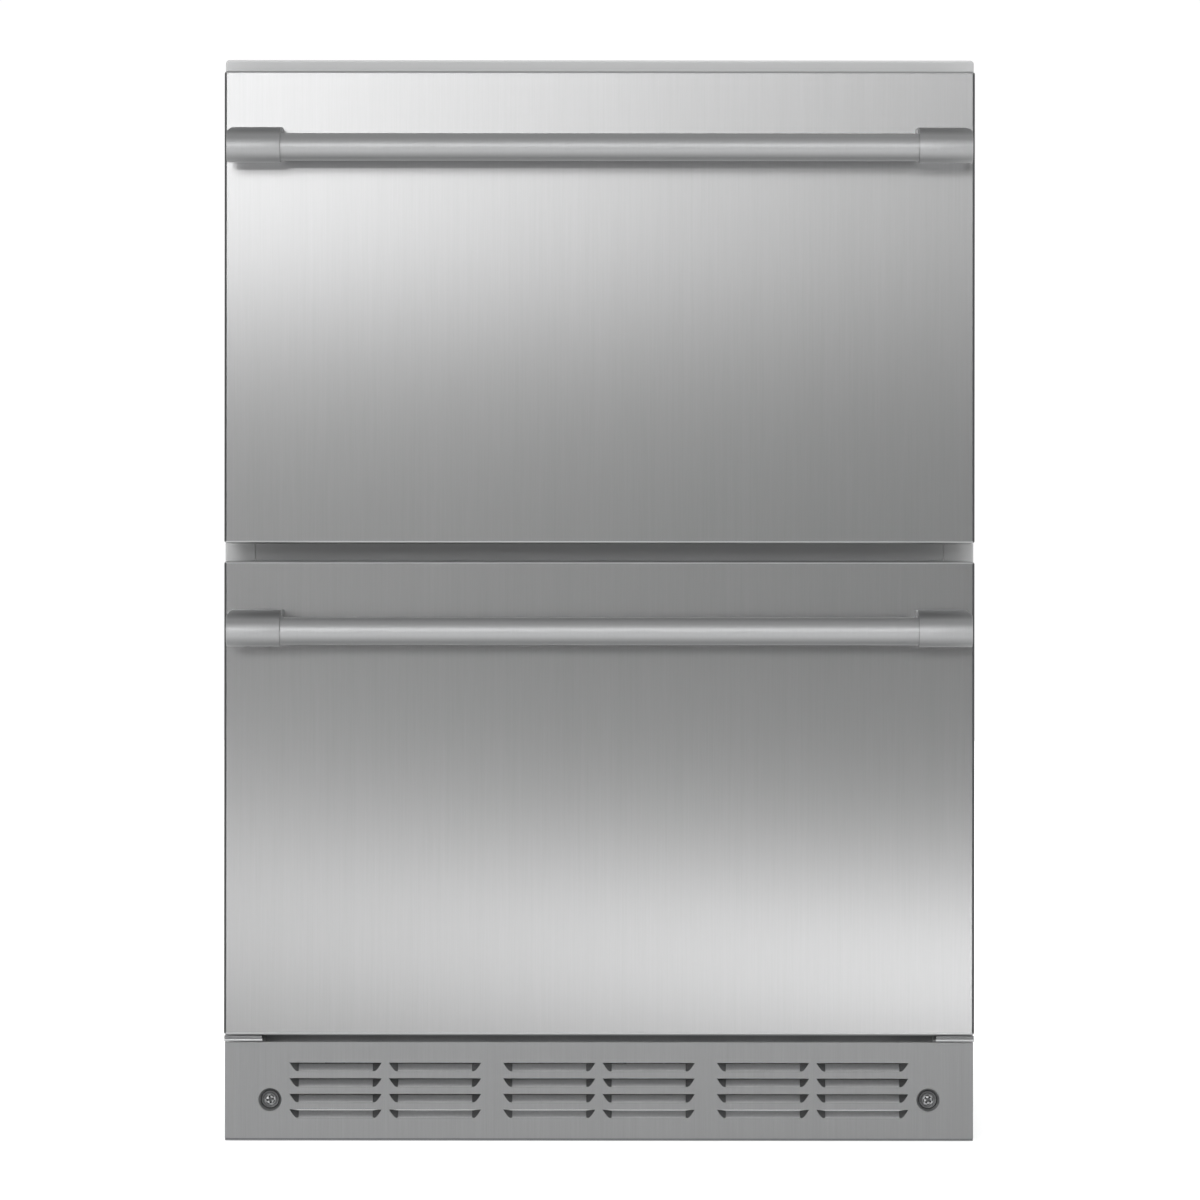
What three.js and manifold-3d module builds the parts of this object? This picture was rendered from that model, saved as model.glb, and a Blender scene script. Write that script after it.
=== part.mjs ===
// Undercounter drawer refrigerator, two full-extension drawers over a louvred kick plate.
// Millimetres, +Z up, +X to the user's right, +Y to the back. The finished group has its
// origin on the floor, under the middle of the object's overall box.
// Inside this file y = 0 is the outer face of the two drawer fronts, and y grows to the back.
import * as THREE from "three";
import { mergeVertices } from "three/addons/utils/BufferGeometryUtils.js";
import Module from "manifold-3d";

const wasm = await Module();
wasm.setup();

// ---------------------------------------------------------------- driving dimensions
const GAP = 0.3; // clearance between two pieces that touch
const WIDTH = 603; // drawer fronts and kick plate, 23 3/4 in
const HALF = WIDTH / 2;
const SIDE_X = 606.4 / 2; // outer half width of the cabinet, 23 7/8 in across
const TOP = 873; // top of the cabinet above the floor, legs screwed in
const FACE_Y = 45; // front face of the cabinet, where the gaskets land
const SHELL_BACK_Y = 602.5;
const BACK_Y = 604.5; // rearmost surface
const SHEET = 1.0; // cabinet sheet steel
const SHELL_BOTTOM = 24;
const FLANGE = 24.3; // front return flange of the side walls
const TOP_FLANGE = 35;

const LINER_X = 263.5; // inner half width of the food compartment
const LINER_TOP = 830;
const LINER_FLOOR = 112;
const LINER_BACK = 552;
const HUMP_TOP = 318; // the liner steps over the machine compartment
const HUMP_FRONT = 388;
const LINER_T = 2;
const FOAM_BOTTOM = 80;
const MACHINE_FRONT = 426;
const MACHINE_TOP = 280;

const MULLION_Z0 = 448,
  MULLION_Z1 = 499;

const KICK_Y = 10; // the kick plate is set back from the drawer fronts
const KICK_Z0 = 1.8,
  KICK_Z1 = 79.4,
  KICK_T = 1.2;
const SCREW_X = 264.9,
  SCREW_Z = 32.9;
const LOUVRE_TOP = 62.6, // upper edge of the top row
  LOUVRE_PITCH = 12.55,
  LOUVRE_H = 6.7,
  LOUVRE_HALF = 36.9, // half length along the upper edge
  LOUVRE_TAPER = 5.9,
  LOUVRE_PAIR = 40.0, // column centre from the middle of its pair
  PAIR_PITCH = 172;

const FRONT_T = 1.0; // sheet of the drawer front
const FRONT_EDGE = 2.2; // fold radius round the front
const FRONT_RETURN = 22;
const PANEL_BACK = 36; // back face of the drawer's inner panel
const PLUG = 4; // raised middle of the inner panel
const HANDLE_R = 11,
  SLEEVE_R = 12.4,
  HANDLE_OUT = 45, // bar centre in front of the drawer front
  HANDLE_HALF = 296.8, // outer end of the end brackets
  SLEEVE_L = 42.6,
  ARM_TOP = 17.0; // flat top of the bracket above the bar's centre
const BOX_T = 1.2; // drawer box sheet
const BOX_X = 250; // outer half width of the drawer boxes

// z of the drawer front's bottom edge and its height, handle centre, drawer box, runners
const UPPER = {
  name: "upper",
  z0: 480.5,
  h: 379.9,
  handle: 795.9,
  boxZ: 508,
  boxH: 262,
  boxDepth: 436,
  runnerZ: 575,
  runnerY: 60,
  runnerL: 416,
  gasket: [483, 856],
};
const LOWER = {
  name: "lower",
  z0: 85.4,
  h: 381.2,
  handle: 410.5,
  boxZ: 122,
  boxH: 250,
  boxDepth: 332,
  runnerZ: 190,
  runnerY: 52,
  runnerL: 328,
  gasket: [90, 463.5],
};

// ---------------------------------------------------------------- materials
const material = (color, metalness, roughness) =>
  new THREE.MeshStandardMaterial({
    color,
    metalness,
    roughness,
    flatShading: true,
  });
const brushedSteel = material(0xb4b6b7, 1, 0.32);
const handleSteel = material(0xa9abad, 1, 0.28);
const cabinetPaint = material(0xa7a9aa, 0.6, 0.42);
const galvanised = material(0x9c9fa1, 0.9, 0.5);
const zincScrew = material(0xc4c6c8, 1, 0.3);
const linerPlastic = material(0xe6e7e6, 0, 0.45);
const innerPlastic = material(0xc9cbcb, 0, 0.5);
const gasketRubber = material(0x55595b, 0, 0.8);
const foam = material(0xe7d9a6, 0, 0.95);
const boxSteel = material(0xbfc1c2, 1, 0.35);
const runnerZinc = material(0xaeb1b3, 1, 0.35);
const blackPlastic = material(0x202224, 0, 0.5);
const blackPaint = material(0x1b1c1d, 0.3, 0.45);
const coilMetal = material(0xb9bbbc, 0.9, 0.4);
const displayGlass = material(0x0c1013, 0, 0.1);
const lightLens = material(0xf4f6f7, 0, 0.35);
const clearPlastic = material(0xd9dfe2, 0, 0.15);

// ---------------------------------------------------------------- solids
// A closed geometry as a solid with its faces outwards.
function solid(geometry) {
  const g = geometry.clone();
  g.deleteAttribute("normal");
  g.deleteAttribute("uv");
  const m = mergeVertices(g, 1e-4);
  const vertProperties = new Float32Array(m.attributes.position.array);
  const triVerts = new Uint32Array(m.index.array);
  const make = () =>
    new wasm.Manifold(
      new wasm.Mesh({ numProp: 3, vertProperties, triVerts }),
    );
  const made = make();
  if (made.volume() >= 0) return made;
  for (let i = 0; i < triVerts.length; i += 3)
    [triVerts[i + 1], triVerts[i + 2]] = [triVerts[i + 2], triVerts[i + 1]];
  return make();
}
function geometryOf(made) {
  const m = made.getMesh();
  return new THREE.BufferGeometry()
    .setAttribute("position", new THREE.BufferAttribute(m.vertProperties, 3))
    .setIndex(new THREE.BufferAttribute(m.triVerts, 1));
}
const join = (list) => list.reduce((a, b) => a.add(b));
const cut = (from, list) => list.reduce((a, b) => a.subtract(b), from);

function box(x0, x1, y0, y1, z0, z1) {
  return solid(
    new THREE.BoxGeometry(x1 - x0, y1 - y0, z1 - z0).translate(
      (x0 + x1) / 2,
      (y0 + y1) / 2,
      (z0 + z1) / 2,
    ),
  );
}
// A profile drawn in the plane across an axis, pushed along it from a to b.
// axis x: profile (y, z); axis y: profile (x, z); axis z: profile (x, y).
function push(shape, axis, a, b, options = {}) {
  const g = new THREE.ExtrudeGeometry(shape, {
    depth: b - a,
    bevelEnabled: false,
    curveSegments: 6,
    ...options,
  });
  if (axis === "x")
    g.applyMatrix4(
      new THREE.Matrix4().set(0, 0, 1, a, 1, 0, 0, 0, 0, 1, 0, 0, 0, 0, 0, 1),
    );
  else if (axis === "y")
    g.applyMatrix4(
      new THREE.Matrix4().set(1, 0, 0, 0, 0, 0, -1, b, 0, 1, 0, 0, 0, 0, 0, 1),
    );
  else g.translate(0, 0, a);
  return solid(g);
}
const polygon = (points) =>
  new THREE.Shape(points.map(([x, y]) => new THREE.Vector2(x, y)));
function roundedRect(x0, x1, y0, y1, r) {
  const s = new THREE.Shape();
  s.moveTo(x0 + r, y0);
  s.lineTo(x1 - r, y0);
  s.absarc(x1 - r, y0 + r, r, -Math.PI / 2, 0, false);
  s.lineTo(x1, y1 - r);
  s.absarc(x1 - r, y1 - r, r, 0, Math.PI / 2, false);
  s.lineTo(x0 + r, y1);
  s.absarc(x0 + r, y1 - r, r, Math.PI / 2, Math.PI, false);
  s.lineTo(x0, y0 + r);
  s.absarc(x0 + r, y0 + r, r, Math.PI, 1.5 * Math.PI, false);
  return s;
}
// A cylinder along an axis, from a to b, its centre line at (p, q) across it.
function rod(axis, a, b, p, q, r, segments = 24) {
  const g = new THREE.CylinderGeometry(r, r, b - a, segments);
  if (axis === "x") g.rotateZ(-Math.PI / 2).translate((a + b) / 2, p, q);
  else if (axis === "y") g.translate(p, (a + b) / 2, q);
  else g.rotateX(Math.PI / 2).translate(p, q, (a + b) / 2);
  return solid(g);
}
// A turned shape: points are (radius, height). It stands along +Z, or with "y" along +Y.
function turned(points, segments = 28, axis = "z", x = 0, y = 0, z = 0) {
  const g = new THREE.LatheGeometry(
    points.map(([r, h]) => new THREE.Vector2(r, h)),
    segments,
  );
  if (axis === "z") g.rotateX(Math.PI / 2);
  return solid(g.translate(x, y, z));
}

// ---------------------------------------------------------------- scene graph
const root = new THREE.Group();
root.name = "drawer_refrigerator";
root.position.y = -(BACK_Y - (HANDLE_OUT + SLEEVE_R)) / 2;
function group(parent, x = 0, y = 0, z = 0) {
  const g = new THREE.Group();
  g.position.set(x, y, z);
  parent.add(g);
  return g;
}
function part(parent, name, made, mat, x = 0, y = 0, z = 0) {
  const mesh = new THREE.Mesh(geometryOf(made), mat);
  mesh.name = name;
  mesh.position.set(x, y, z);
  parent.add(mesh);
  return mesh;
}
const SIDES = [
  ["left", -1],
  ["right", 1],
];

// ================================================================ cabinet
const cabinet = group(root);

// Outer wrapper: two sides and top in one folded sheet, with front return flanges.
{
  const outline = (inset, z0) => {
    const s = new THREE.Shape();
    const x = SIDE_X - inset,
      z = TOP - inset,
      r = 3 - inset;
    s.moveTo(-x, z0);
    s.lineTo(x, z0);
    s.lineTo(x, z - r);
    s.absarc(x - r, z - r, r, 0, Math.PI / 2, false);
    s.lineTo(-x + r, z);
    s.absarc(-x + r, z - r, r, Math.PI / 2, Math.PI, false);
    return s;
  };
  const few = { curveSegments: 4 };
  part(
    cabinet,
    "cabinet_shell",
    cut(push(outline(0, SHELL_BOTTOM), "y", FACE_Y, SHELL_BACK_Y, few), [
      push(
        outline(SHEET, SHELL_BOTTOM - 5),
        "y",
        FACE_Y + SHEET,
        BACK_Y + 5,
        few,
      ),
      box(
        -SIDE_X + FLANGE,
        SIDE_X - FLANGE,
        FACE_Y - 5,
        FACE_Y + 5,
        SHELL_BOTTOM - 5,
        TOP - TOP_FLANGE,
      ),
    ]),
    cabinetPaint,
  );
}

// Rear sheet that closes the insulated part, with two pressed beads that stand out to the back.
{
  const y0 = SHELL_BACK_Y + GAP;
  part(
    cabinet,
    "back_panel",
    join([
      box(-SIDE_X + 0.2, SIDE_X - 0.2, y0, y0 + 1, 305, TOP - 0.5),
      box(-230, 230, y0 + 0.5, BACK_Y, 420, 432),
      box(-230, 230, y0 + 0.5, BACK_Y, 720, 732),
    ]),
    galvanised,
  );
}

// Base pan: a tray between the side walls, with bosses for the levelling legs and two
// forward tabs that the kick plate's screws bite into.
const LEGS = [
  ["front_left", -265, 78],
  ["front_right", 265, 78],
  ["rear_left", -265, 574],
  ["rear_right", 265, 574],
];
{
  const z0 = SHELL_BOTTOM,
    x = SIDE_X - SHEET - GAP,
    y0 = FACE_Y + SHEET + GAP,
    y1 = SHELL_BACK_Y - GAP;
  const tray = cut(box(-x, x, y0, y1, z0, z0 + 28), [
    box(-x + 1.5, x - 1.5, y0 + 1.5, y1 - 1.5, z0 + 1.5, z0 + 40),
    box(-x + 1.5, x - 1.5, y0 - 5, y0 + 4, z0 + 8, z0 + 40),
  ]);
  const bosses = LEGS.map(([, lx, ly]) => rod("z", z0, z0 + 13, lx, ly, 10, 14));
  const holes = LEGS.map(([, lx, ly]) =>
    rod("z", z0 - 5, z0 + 20, lx, ly, 5.6, 14),
  );
  const tabs = SIDES.flatMap(([, s]) => {
    const a = s * SCREW_X - 11,
      b = s * SCREW_X + 11;
    return [
      box(a, b, KICK_Y + 6.6, KICK_Y + 8.2, z0, z0 + 20),
      box(a, b, KICK_Y + 6.6, FACE_Y + 4, z0, z0 + 1.5),
    ];
  });
  const screwHoles = SIDES.map(([, s]) =>
    rod("y", KICK_Y, KICK_Y + 20, s * SCREW_X, SCREW_Z, 2.5, 12),
  );
  part(
    cabinet,
    "base_pan",
    cut(join([tray, ...bosses, ...tabs]), [...holes, ...screwHoles]),
    galvanised,
  );
}

// Food liner: one vacuum-formed tub, stepped over the machine compartment, with a flange
// that tucks behind the wrapper's returns.
const tub = (grow, yFront) =>
  join([
    box(
      -LINER_X - grow,
      LINER_X + grow,
      yFront,
      LINER_BACK + grow,
      HUMP_TOP - grow,
      LINER_TOP + grow,
    ),
    box(
      -LINER_X - grow,
      LINER_X + grow,
      yFront,
      HUMP_FRONT + grow,
      LINER_FLOOR - grow,
      LINER_TOP + grow,
    ),
  ]);
{
  const y0 = FACE_Y + SHEET + GAP;
  const flange = box(
    -SIDE_X + SHEET + GAP + 0.5,
    SIDE_X - SHEET - GAP - 0.5,
    y0,
    y0 + LINER_T,
    81,
    TOP - SHEET - GAP - 0.5,
  );
  part(
    cabinet,
    "inner_liner",
    cut(join([flange, tub(LINER_T, y0 + 0.1)]), [tub(0, FACE_Y - 5)]),
    linerPlastic,
  );
}

// Polyurethane insulation that fills the space between wrapper and liner.
{
  const x = SIDE_X - SHEET - GAP,
    top = TOP - SHEET - GAP;
  part(
    cabinet,
    "foam_insulation",
    cut(box(-x, x, FACE_Y + 3.6, SHELL_BACK_Y, FOAM_BOTTOM, top), [
      tub(LINER_T + GAP, FACE_Y),
      box(-x - 5, x + 5, MACHINE_FRONT, BACK_Y + 5, 0, MACHINE_TOP),
      box(x - 2, x + 1, FACE_Y, BACK_Y + 5, top - 2, TOP + 1),
      box(-x - 1, -x + 2, FACE_Y, BACK_Y + 5, top - 2, TOP + 1),
    ]),
    foam,
  );
}

// Cross member between the two drawer openings: a face plate on a channel that is open
// to the back.
{
  const plateX = SIDE_X - FLANGE - GAP,
    boxX = LINER_X - GAP;
  part(
    cabinet,
    "mullion",
    cut(
      join([
        box(-plateX, plateX, FACE_Y, FACE_Y + 1, MULLION_Z0, MULLION_Z1),
        box(
          -boxX,
          boxX,
          FACE_Y + 0.5,
          FACE_Y + 50,
          MULLION_Z0 + 1,
          MULLION_Z1 - 1,
        ),
      ]),
      [
        box(
          -boxX + 1.2,
          boxX - 1.2,
          FACE_Y + 1.2,
          FACE_Y + 60,
          MULLION_Z0 + 2.2,
          MULLION_Z1 - 2.2,
        ),
      ],
    ),
    cabinetPaint,
  );
  // Sill under the lower opening, with its bottom edge folded back.
  part(
    cabinet,
    "sill_rail",
    push(
      polygon([
        [FACE_Y, 62],
        [FACE_Y + 22, 62],
        [FACE_Y + 22, 63],
        [FACE_Y + 1, 63],
        [FACE_Y + 1, LINER_FLOOR - 2.4],
        [FACE_Y, LINER_FLOOR - 2.4],
      ]),
      "x",
      -plateX,
      plateX,
    ),
    cabinetPaint,
  );
}

// Corner plates under the lower drawer front, each with a lug turned down onto the sill.
for (const [side, s] of SIDES) {
  const back = FACE_Y - GAP,
    w = 30.9,
    x0 = s < 0 ? -HALF + 0.2 : HALF - 0.2 - w;
  part(
    cabinet,
    "corner_bracket_" + side,
    push(
      polygon([
        [0.2, 80.6],
        [back - 2.2, 80.6],
        [back - 2.2, 64.5],
        [back, 64.5],
        [back, 82.8],
        [0.2, 82.8],
      ]),
      "x",
      x0,
      x0 + w,
    ),
    brushedSteel,
  );
}

// ---------------------------------------------------------------- kick plate with louvres
const kick = group(cabinet, 0, KICK_Y, KICK_Z0);
{
  const h = KICK_Z1 - KICK_Z0,
    back = FACE_Y - GAP - KICK_Y,
    w = HALF - 0.3;
  const sheet = cut(box(-w, w, 0, back, 0, h), [
    box(-w + KICK_T, w - KICK_T, KICK_T, back + 5, -5, h + 5),
    // the side returns step back under the corner plates
    box(-w - 5, w + 5, KICK_T, back + 5, h - 17, h + 5),
  ]);
  // Three pairs of columns of four louvres. Each is lanced along its upper edge and both
  // ends, and its blade is folded in about the lower edge.
  const openings = [],
    blades = [];
  for (const pair of [-PAIR_PITCH, 0, PAIR_PITCH])
    for (const side of [-1, 1])
      for (let row = 0; row < 4; row++) {
        const cx = pair + side * LOUVRE_PAIR,
          zt = LOUVRE_TOP - KICK_Z0 - row * LOUVRE_PITCH,
          zb = zt - LOUVRE_H,
          a = LOUVRE_HALF,
          b = LOUVRE_HALF - LOUVRE_TAPER;
        const s = new THREE.Shape();
        s.moveTo(cx - a, zt);
        s.quadraticCurveTo(cx - a + 4.4, zb, cx - b, zb);
        s.lineTo(cx + b, zb);
        s.quadraticCurveTo(cx + a - 4.4, zb, cx + a, zt);
        openings.push(push(s, "y", -5, KICK_T + 5, { curveSegments: 3 }));
        blades.push(
          push(
            polygon([
              [0.3, zb - 0.6],
              [1.2, zb - 0.6],
              [6.6, zt - 1.5],
              [6.0, zt - 0.7],
              [0.3, zb + 0.25],
            ]),
            "x",
            cx - b + 1.2,
            cx + b - 1.2,
          ),
        );
      }
  // pressed cups for the screw heads
  const cups = SIDES.map(([, s]) =>
    turned(
      [
        [2.8, 5],
        [6.4, 5],
        [8.9, 0],
        [11, 0],
        [11, KICK_T],
        [9.7, KICK_T],
        [7.3, 6],
        [2.8, 6],
        [2.8, 5],
      ],
      28,
      "y",
      s * SCREW_X,
      0,
      SCREW_Z - KICK_Z0,
    ),
  );
  const cupHoles = SIDES.map(([, s]) =>
    rod("y", -5, KICK_T + 5, s * SCREW_X, SCREW_Z - KICK_Z0, 10.4, 28),
  );
  part(
    kick,
    "kick_plate",
    join([cut(sheet, [...openings, ...cupHoles]), ...blades, ...cups]),
    brushedSteel,
  );
}
// Pan-head screws with a cross recess, head in the cup.
for (const [side, s] of SIDES) {
  const body = turned(
    [
      [0, 0],
      [3, 0],
      [4.7, 0.9],
      [5.3, 2.4],
      [2.2, 2.4],
      [2.2, 15],
      [0, 17],
    ],
    20,
    "y",
  );
  part(
    kick,
    "kick_screw_" + side,
    cut(body, [
      box(-2.6, 2.6, -1, 1.4, -0.5, 0.5),
      box(-0.5, 0.5, -1, 1.4, -2.6, 2.6),
    ]),
    zincScrew,
    s * SCREW_X,
    5 - GAP - 2.4,
    SCREW_Z - KICK_Z0,
  );
}

// ---------------------------------------------------------------- levelling legs
for (const [where, x, y] of LEGS)
  part(
    cabinet,
    "levelling_leg_" + where,
    turned(
      [
        [0, 0],
        [17, 0],
        [19, 2],
        [19, 5],
        [9, 9],
        [9, 16],
        [5, 16],
        [5, 58],
        [4, 60],
        [0, 60],
      ],
      16,
    ),
    galvanised,
    x,
    y,
    0,
  );

// ================================================================ machine compartment
const PAN_FLOOR = SHELL_BOTTOM + 1.5 + GAP;
const MACHINE_Y = 514;
const FAN_X = 12,
  FAN_Z = 84;
const machine = group(cabinet, 0, MACHINE_Y, PAN_FLOOR);
{
  // Hermetic compressor on its four-footed plate, with the terminal cover on its side and
  // two stubs for the refrigerant pipes.
  const can = turned(
    [
      [0, 14],
      [44, 14],
      [62, 20],
      [70, 34],
      [72, 60],
      [74, 64],
      [74, 70],
      [72, 74],
      [71, 110],
      [64, 138],
      [46, 156],
      [22, 163],
      [0, 163],
    ],
    22,
  );
  const plate = [
    push(roundedRect(-86, 86, -60, 60, 12), "z", 8, 12, { curveSegments: 3 }),
    ...[
      [-72, -46],
      [72, -46],
      [-72, 46],
      [72, 46],
    ].map(([x, y]) => rod("z", 0, 18, x, y, 9, 12)),
    box(-30, 30, -30, 30, 11, 15),
  ];
  part(
    machine,
    "compressor",
    join([
      can,
      ...plate,
      box(60, 92, -24, 24, 60, 112),
      rod("x", -92, -50, 20, 118, 4, 10),
      rod("x", -88, -50, -20, 96, 3, 10),
    ]),
    blackPaint,
    -160,
  );

  // Condensate pan that sits on the compressor, whose heat dries it out.
  part(
    machine,
    "drip_pan",
    cut(push(roundedRect(-82, 82, -72, 72, 10), "z", 0, 26, { curveSegments: 4 }), [
      push(roundedRect(-80, 80, -70, 70, 8), "z", 2, 40, { curveSegments: 4 }),
    ]),
    blackPlastic,
    -160,
    0,
    163 + GAP,
  );

  // Box fan that draws room air in through the louvres and blows it over the compressor.
  const fan = group(machine, FAN_X, 0, FAN_Z);
  part(
    fan,
    "condenser_fan_frame",
    join([
      cut(
        push(roundedRect(-78, 78, -FAN_Z, 78, 8), "x", -12, 12, {
          curveSegments: 3,
        }),
        [rod("x", -20, 20, 0, 0, 70, 28)],
      ),
      rod("x", -12, 0, 0, 0, 20, 20),
      box(-12, -8, -74, 74, -4, 4),
      box(-12, -8, -4, 4, -74, 74),
    ]),
    blackPlastic,
  );
  part(fan, "condenser_fan_blade", fanRotor(66, 19, 5, 11, "x"), blackPaint);

  // Condenser: serpentine tube through a stack of fins, the two end fins standing on the pan.
  part(
    machine,
    "condenser_coil",
    join([
      coil(4, 140, 138, 80, 8, 4),
      box(-39.2, -38, -70, 70, -FAN_Z, 69),
      box(38, 39.2, -70, 70, -FAN_Z, 69),
    ]),
    coilMetal,
    96,
    0,
    FAN_Z,
  );
}

// A fan rotor about +X, or about -Y: hub from 0.6 to hubL, blades pitched about their radius.
function fanRotor(tip, hub, blades, hubL, axis) {
  const parts = [rod("z", 0.6, hubL, 0, 0, hub, 14)];
  for (let i = 0; i < blades; i++) {
    const s = new THREE.Shape();
    s.moveTo(hub - 3, -7);
    s.lineTo(hub + 2, -9);
    s.quadraticCurveTo(tip * 0.7, -tip * 0.3, tip * 0.95, -tip * 0.22);
    s.quadraticCurveTo(tip * 1.0, 0, tip * 0.93, tip * 0.26);
    s.quadraticCurveTo(tip * 0.6, tip * 0.25, hub - 3, 7);
    const g = new THREE.ExtrudeGeometry(s, {
      depth: 1.4,
      bevelEnabled: false,
      curveSegments: 3,
    });
    g.translate(0, 0, -0.7)
      .rotateX((24 * Math.PI) / 180)
      .translate(0, 0, hubL / 2 + 0.3)
      .rotateZ((i * 2 * Math.PI) / blades);
    parts.push(solid(g));
  }
  // the blades stay inside the hub's length
  const made = join(parts).intersect(rod("z", 0.6, hubL, 0, 0, tip, 28));
  const g = geometryOf(made);
  return solid(axis === "x" ? g.rotateY(Math.PI / 2) : g.rotateX(Math.PI / 2));
}

// Fin-and-tube coil centred on the origin: a stack of fins across x on one spine, with the
// tubes' return bends standing out at both ends. Depth w along y, height h, length d, and
// tubes of radius r in `rows` passes.
function coil(rows, w, h, d, fins, r) {
  const pitch = (d - 1.2) / (fins - 1),
    gaps = [];
  for (let i = 0; i < fins - 1; i++) {
    const x = -d / 2 + 1.2 + i * pitch;
    gaps.push(box(x, x + pitch - 1.2, -w, w / 2 - 2, -h, h));
  }
  const parts = [cut(box(-d / 2, d / 2, -w / 2, w / 2, -h / 2, h / 2), gaps)];
  const dz = h / rows,
    out = d / 2 + 8;
  for (let i = 0; i < rows - 1; i++) {
    const s = i % 2 ? -1 : 1,
      z = -h / 2 + dz * (i + 0.5);
    for (const at of [z, z + dz])
      parts.push(
        s > 0
          ? rod("x", d / 2 - 0.5, out, 0, at, r, 6)
          : rod("x", -out, -d / 2 + 0.5, 0, at, r, 6),
      );
    parts.push(rod("z", z - r, z + dz + r, s * (out - r), 0, r - 0.1, 6));
  }
  return join(parts);
}

// Rear cover of the machine compartment, slotted, with the mains inlet let into it.
{
  const y0 = SHELL_BACK_Y + GAP,
    y1 = y0 + 1.0,
    slots = [];
  for (let i = 0; i < 14; i++) {
    const x = -143 + i * 26;
    slots.push(box(x, x + 6, y0 - 5, y1 + 5, 150, 230));
    if (i % 2 === 0) slots.push(box(x, x + 34, y0 - 5, y1 + 5, 60, 66));
  }
  part(
    cabinet,
    "machine_compartment_cover",
    cut(box(-SIDE_X + 3, SIDE_X - 3, y0, y1, 26, 304.5), [
      ...slots,
      box(-262.4, -227.6, y0 - 5, y1 + 5, 70.6, 99.4),
    ]),
    galvanised,
  );
  // three-pin appliance inlet: the pins stand well back inside the socket
  part(
    cabinet,
    "power_inlet",
    join([
      cut(box(-262, -228, 578, BACK_Y, 71, 99), [
        push(
          polygon([
            [-258, 75],
            [-232, 75],
            [-232, 90],
            [-237, 95],
            [-253, 95],
            [-258, 90],
          ]),
          "y",
          584,
          BACK_Y + 5,
        ),
      ]),
      ...[
        [-252, 81],
        [-238, 81],
        [-245, 88],
      ].map(([x, z]) => box(x - 1, x + 1, 583, 592, z - 2, z + 2)),
    ]),
    blackPlastic,
  );
}

// ================================================================ cold side, behind the upper drawer
const COVER_Y = 500;
const COLD_FAN_Z = 700;
{
  const inside = [COVER_Y - 5, COVER_Y + 8];
  const holes = [rod("y", ...inside, 0, COLD_FAN_Z, 44, 24)];
  for (let i = 0; i < 5; i++)
    for (const z of [352, 366])
      holes.push(box(-220 + i * 90, -140 + i * 90, ...inside, z, z + 6));
  for (let i = 0; i < 3; i++)
    for (const [, s] of SIDES)
      holes.push(
        box(s * 160 - 50, s * 160 + 50, ...inside, 740 + i * 14, 746 + i * 14),
      );
  // finger guard in the fan hole
  const ring = (r0, r1) =>
    cut(rod("y", COVER_Y, COVER_Y + 2, 0, COLD_FAN_Z, r1, 24), [
      rod("y", COVER_Y - 2, COVER_Y + 5, 0, COLD_FAN_Z, r0, 24),
    ]);
  part(
    cabinet,
    "evaporator_cover",
    join([
      cut(box(-250, 250, COVER_Y, LINER_BACK - GAP, 330, 800), [
        box(-248, 248, COVER_Y + 2, LINER_BACK + 5, 332, 798),
        ...holes,
      ]),
      box(-45, 45, COVER_Y, COVER_Y + 2, COLD_FAN_Z - 1.5, COLD_FAN_Z + 1.5),
      box(-1.5, 1.5, COVER_Y, COVER_Y + 2, COLD_FAN_Z - 45, COLD_FAN_Z + 45),
      ring(29.5, 32),
      ring(15.5, 18),
    ]),
    linerPlastic,
  );
  const fan = group(cabinet, 0, COVER_Y + 2 + GAP + 11, COLD_FAN_Z);
  part(
    fan,
    "evaporator_fan_frame",
    join([
      cut(push(roundedRect(-52, 52, -52, 52, 6), "y", -11, 11, { curveSegments: 3 }), [
        rod("y", -20, 20, 0, 0, 45, 24),
      ]),
      rod("y", 2, 11, 0, 0, 15, 18),
      box(-49, 49, 8, 11, -2.5, 2.5),
      box(-2.5, 2.5, 8, 11, -49, 49),
    ]),
    blackPlastic,
  );
  part(
    fan,
    "evaporator_fan_blade",
    fanRotor(42, 14, 5, 10, "y"),
    blackPaint,
    0,
    1.2,
  );
  // evaporator, hung on two end plates that stand off the liner's back wall
  part(
    cabinet,
    "evaporator_coil",
    join([
      coil(4, 30, 170, 400, 13, 4),
      box(-199.2, -198, -15, LINER_BACK - GAP - 530, -85, 85),
      box(198, 199.2, -15, LINER_BACK - GAP - 530, -85, 85),
    ]),
    coilMetal,
    0,
    530,
    500,
  );
}

// Control box under the liner's ceiling, in front, with the compartment light below it.
{
  const control = group(cabinet, 0, FACE_Y + 5, 799);
  const BUTTONS = [
    ["button_power", 62],
    ["button_colder", 82],
    ["button_warmer", 102],
  ];
  part(
    control,
    "control_housing",
    cut(
      push(
        polygon([
          [0, 8],
          [8, 0],
          [64, 0],
          [72, 8],
          [72, 30.7],
          [0, 30.7],
        ]),
        "x",
        -240,
        240,
      ),
      BUTTONS.map(([, x]) => rod("y", -5, 9, x, 19, 5.4, 20)),
    ),
    innerPlastic,
  );
  part(
    control,
    "control_display",
    push(roundedRect(-40, 40, 12, 26, 2), "y", -1.3, -GAP, {
      curveSegments: 3,
    }),
    displayGlass,
  );
  for (const [name, x] of BUTTONS)
    part(
      control,
      name,
      turned(
        [
          [0, -2],
          [4.2, -2],
          [5, -1.2],
          [5, 7],
          [0, 7],
        ],
        20,
        "y",
      ),
      innerPlastic,
      x,
      0,
      19,
    );
  part(
    control,
    "light_lens",
    push(
      polygon([
        [18, -GAP],
        [18, -2],
        [20, -3.5],
        [36, -3.5],
        [38, -2],
        [38, -GAP],
      ]),
      "x",
      -200,
      200,
    ),
    lightLens,
  );
}

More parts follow.
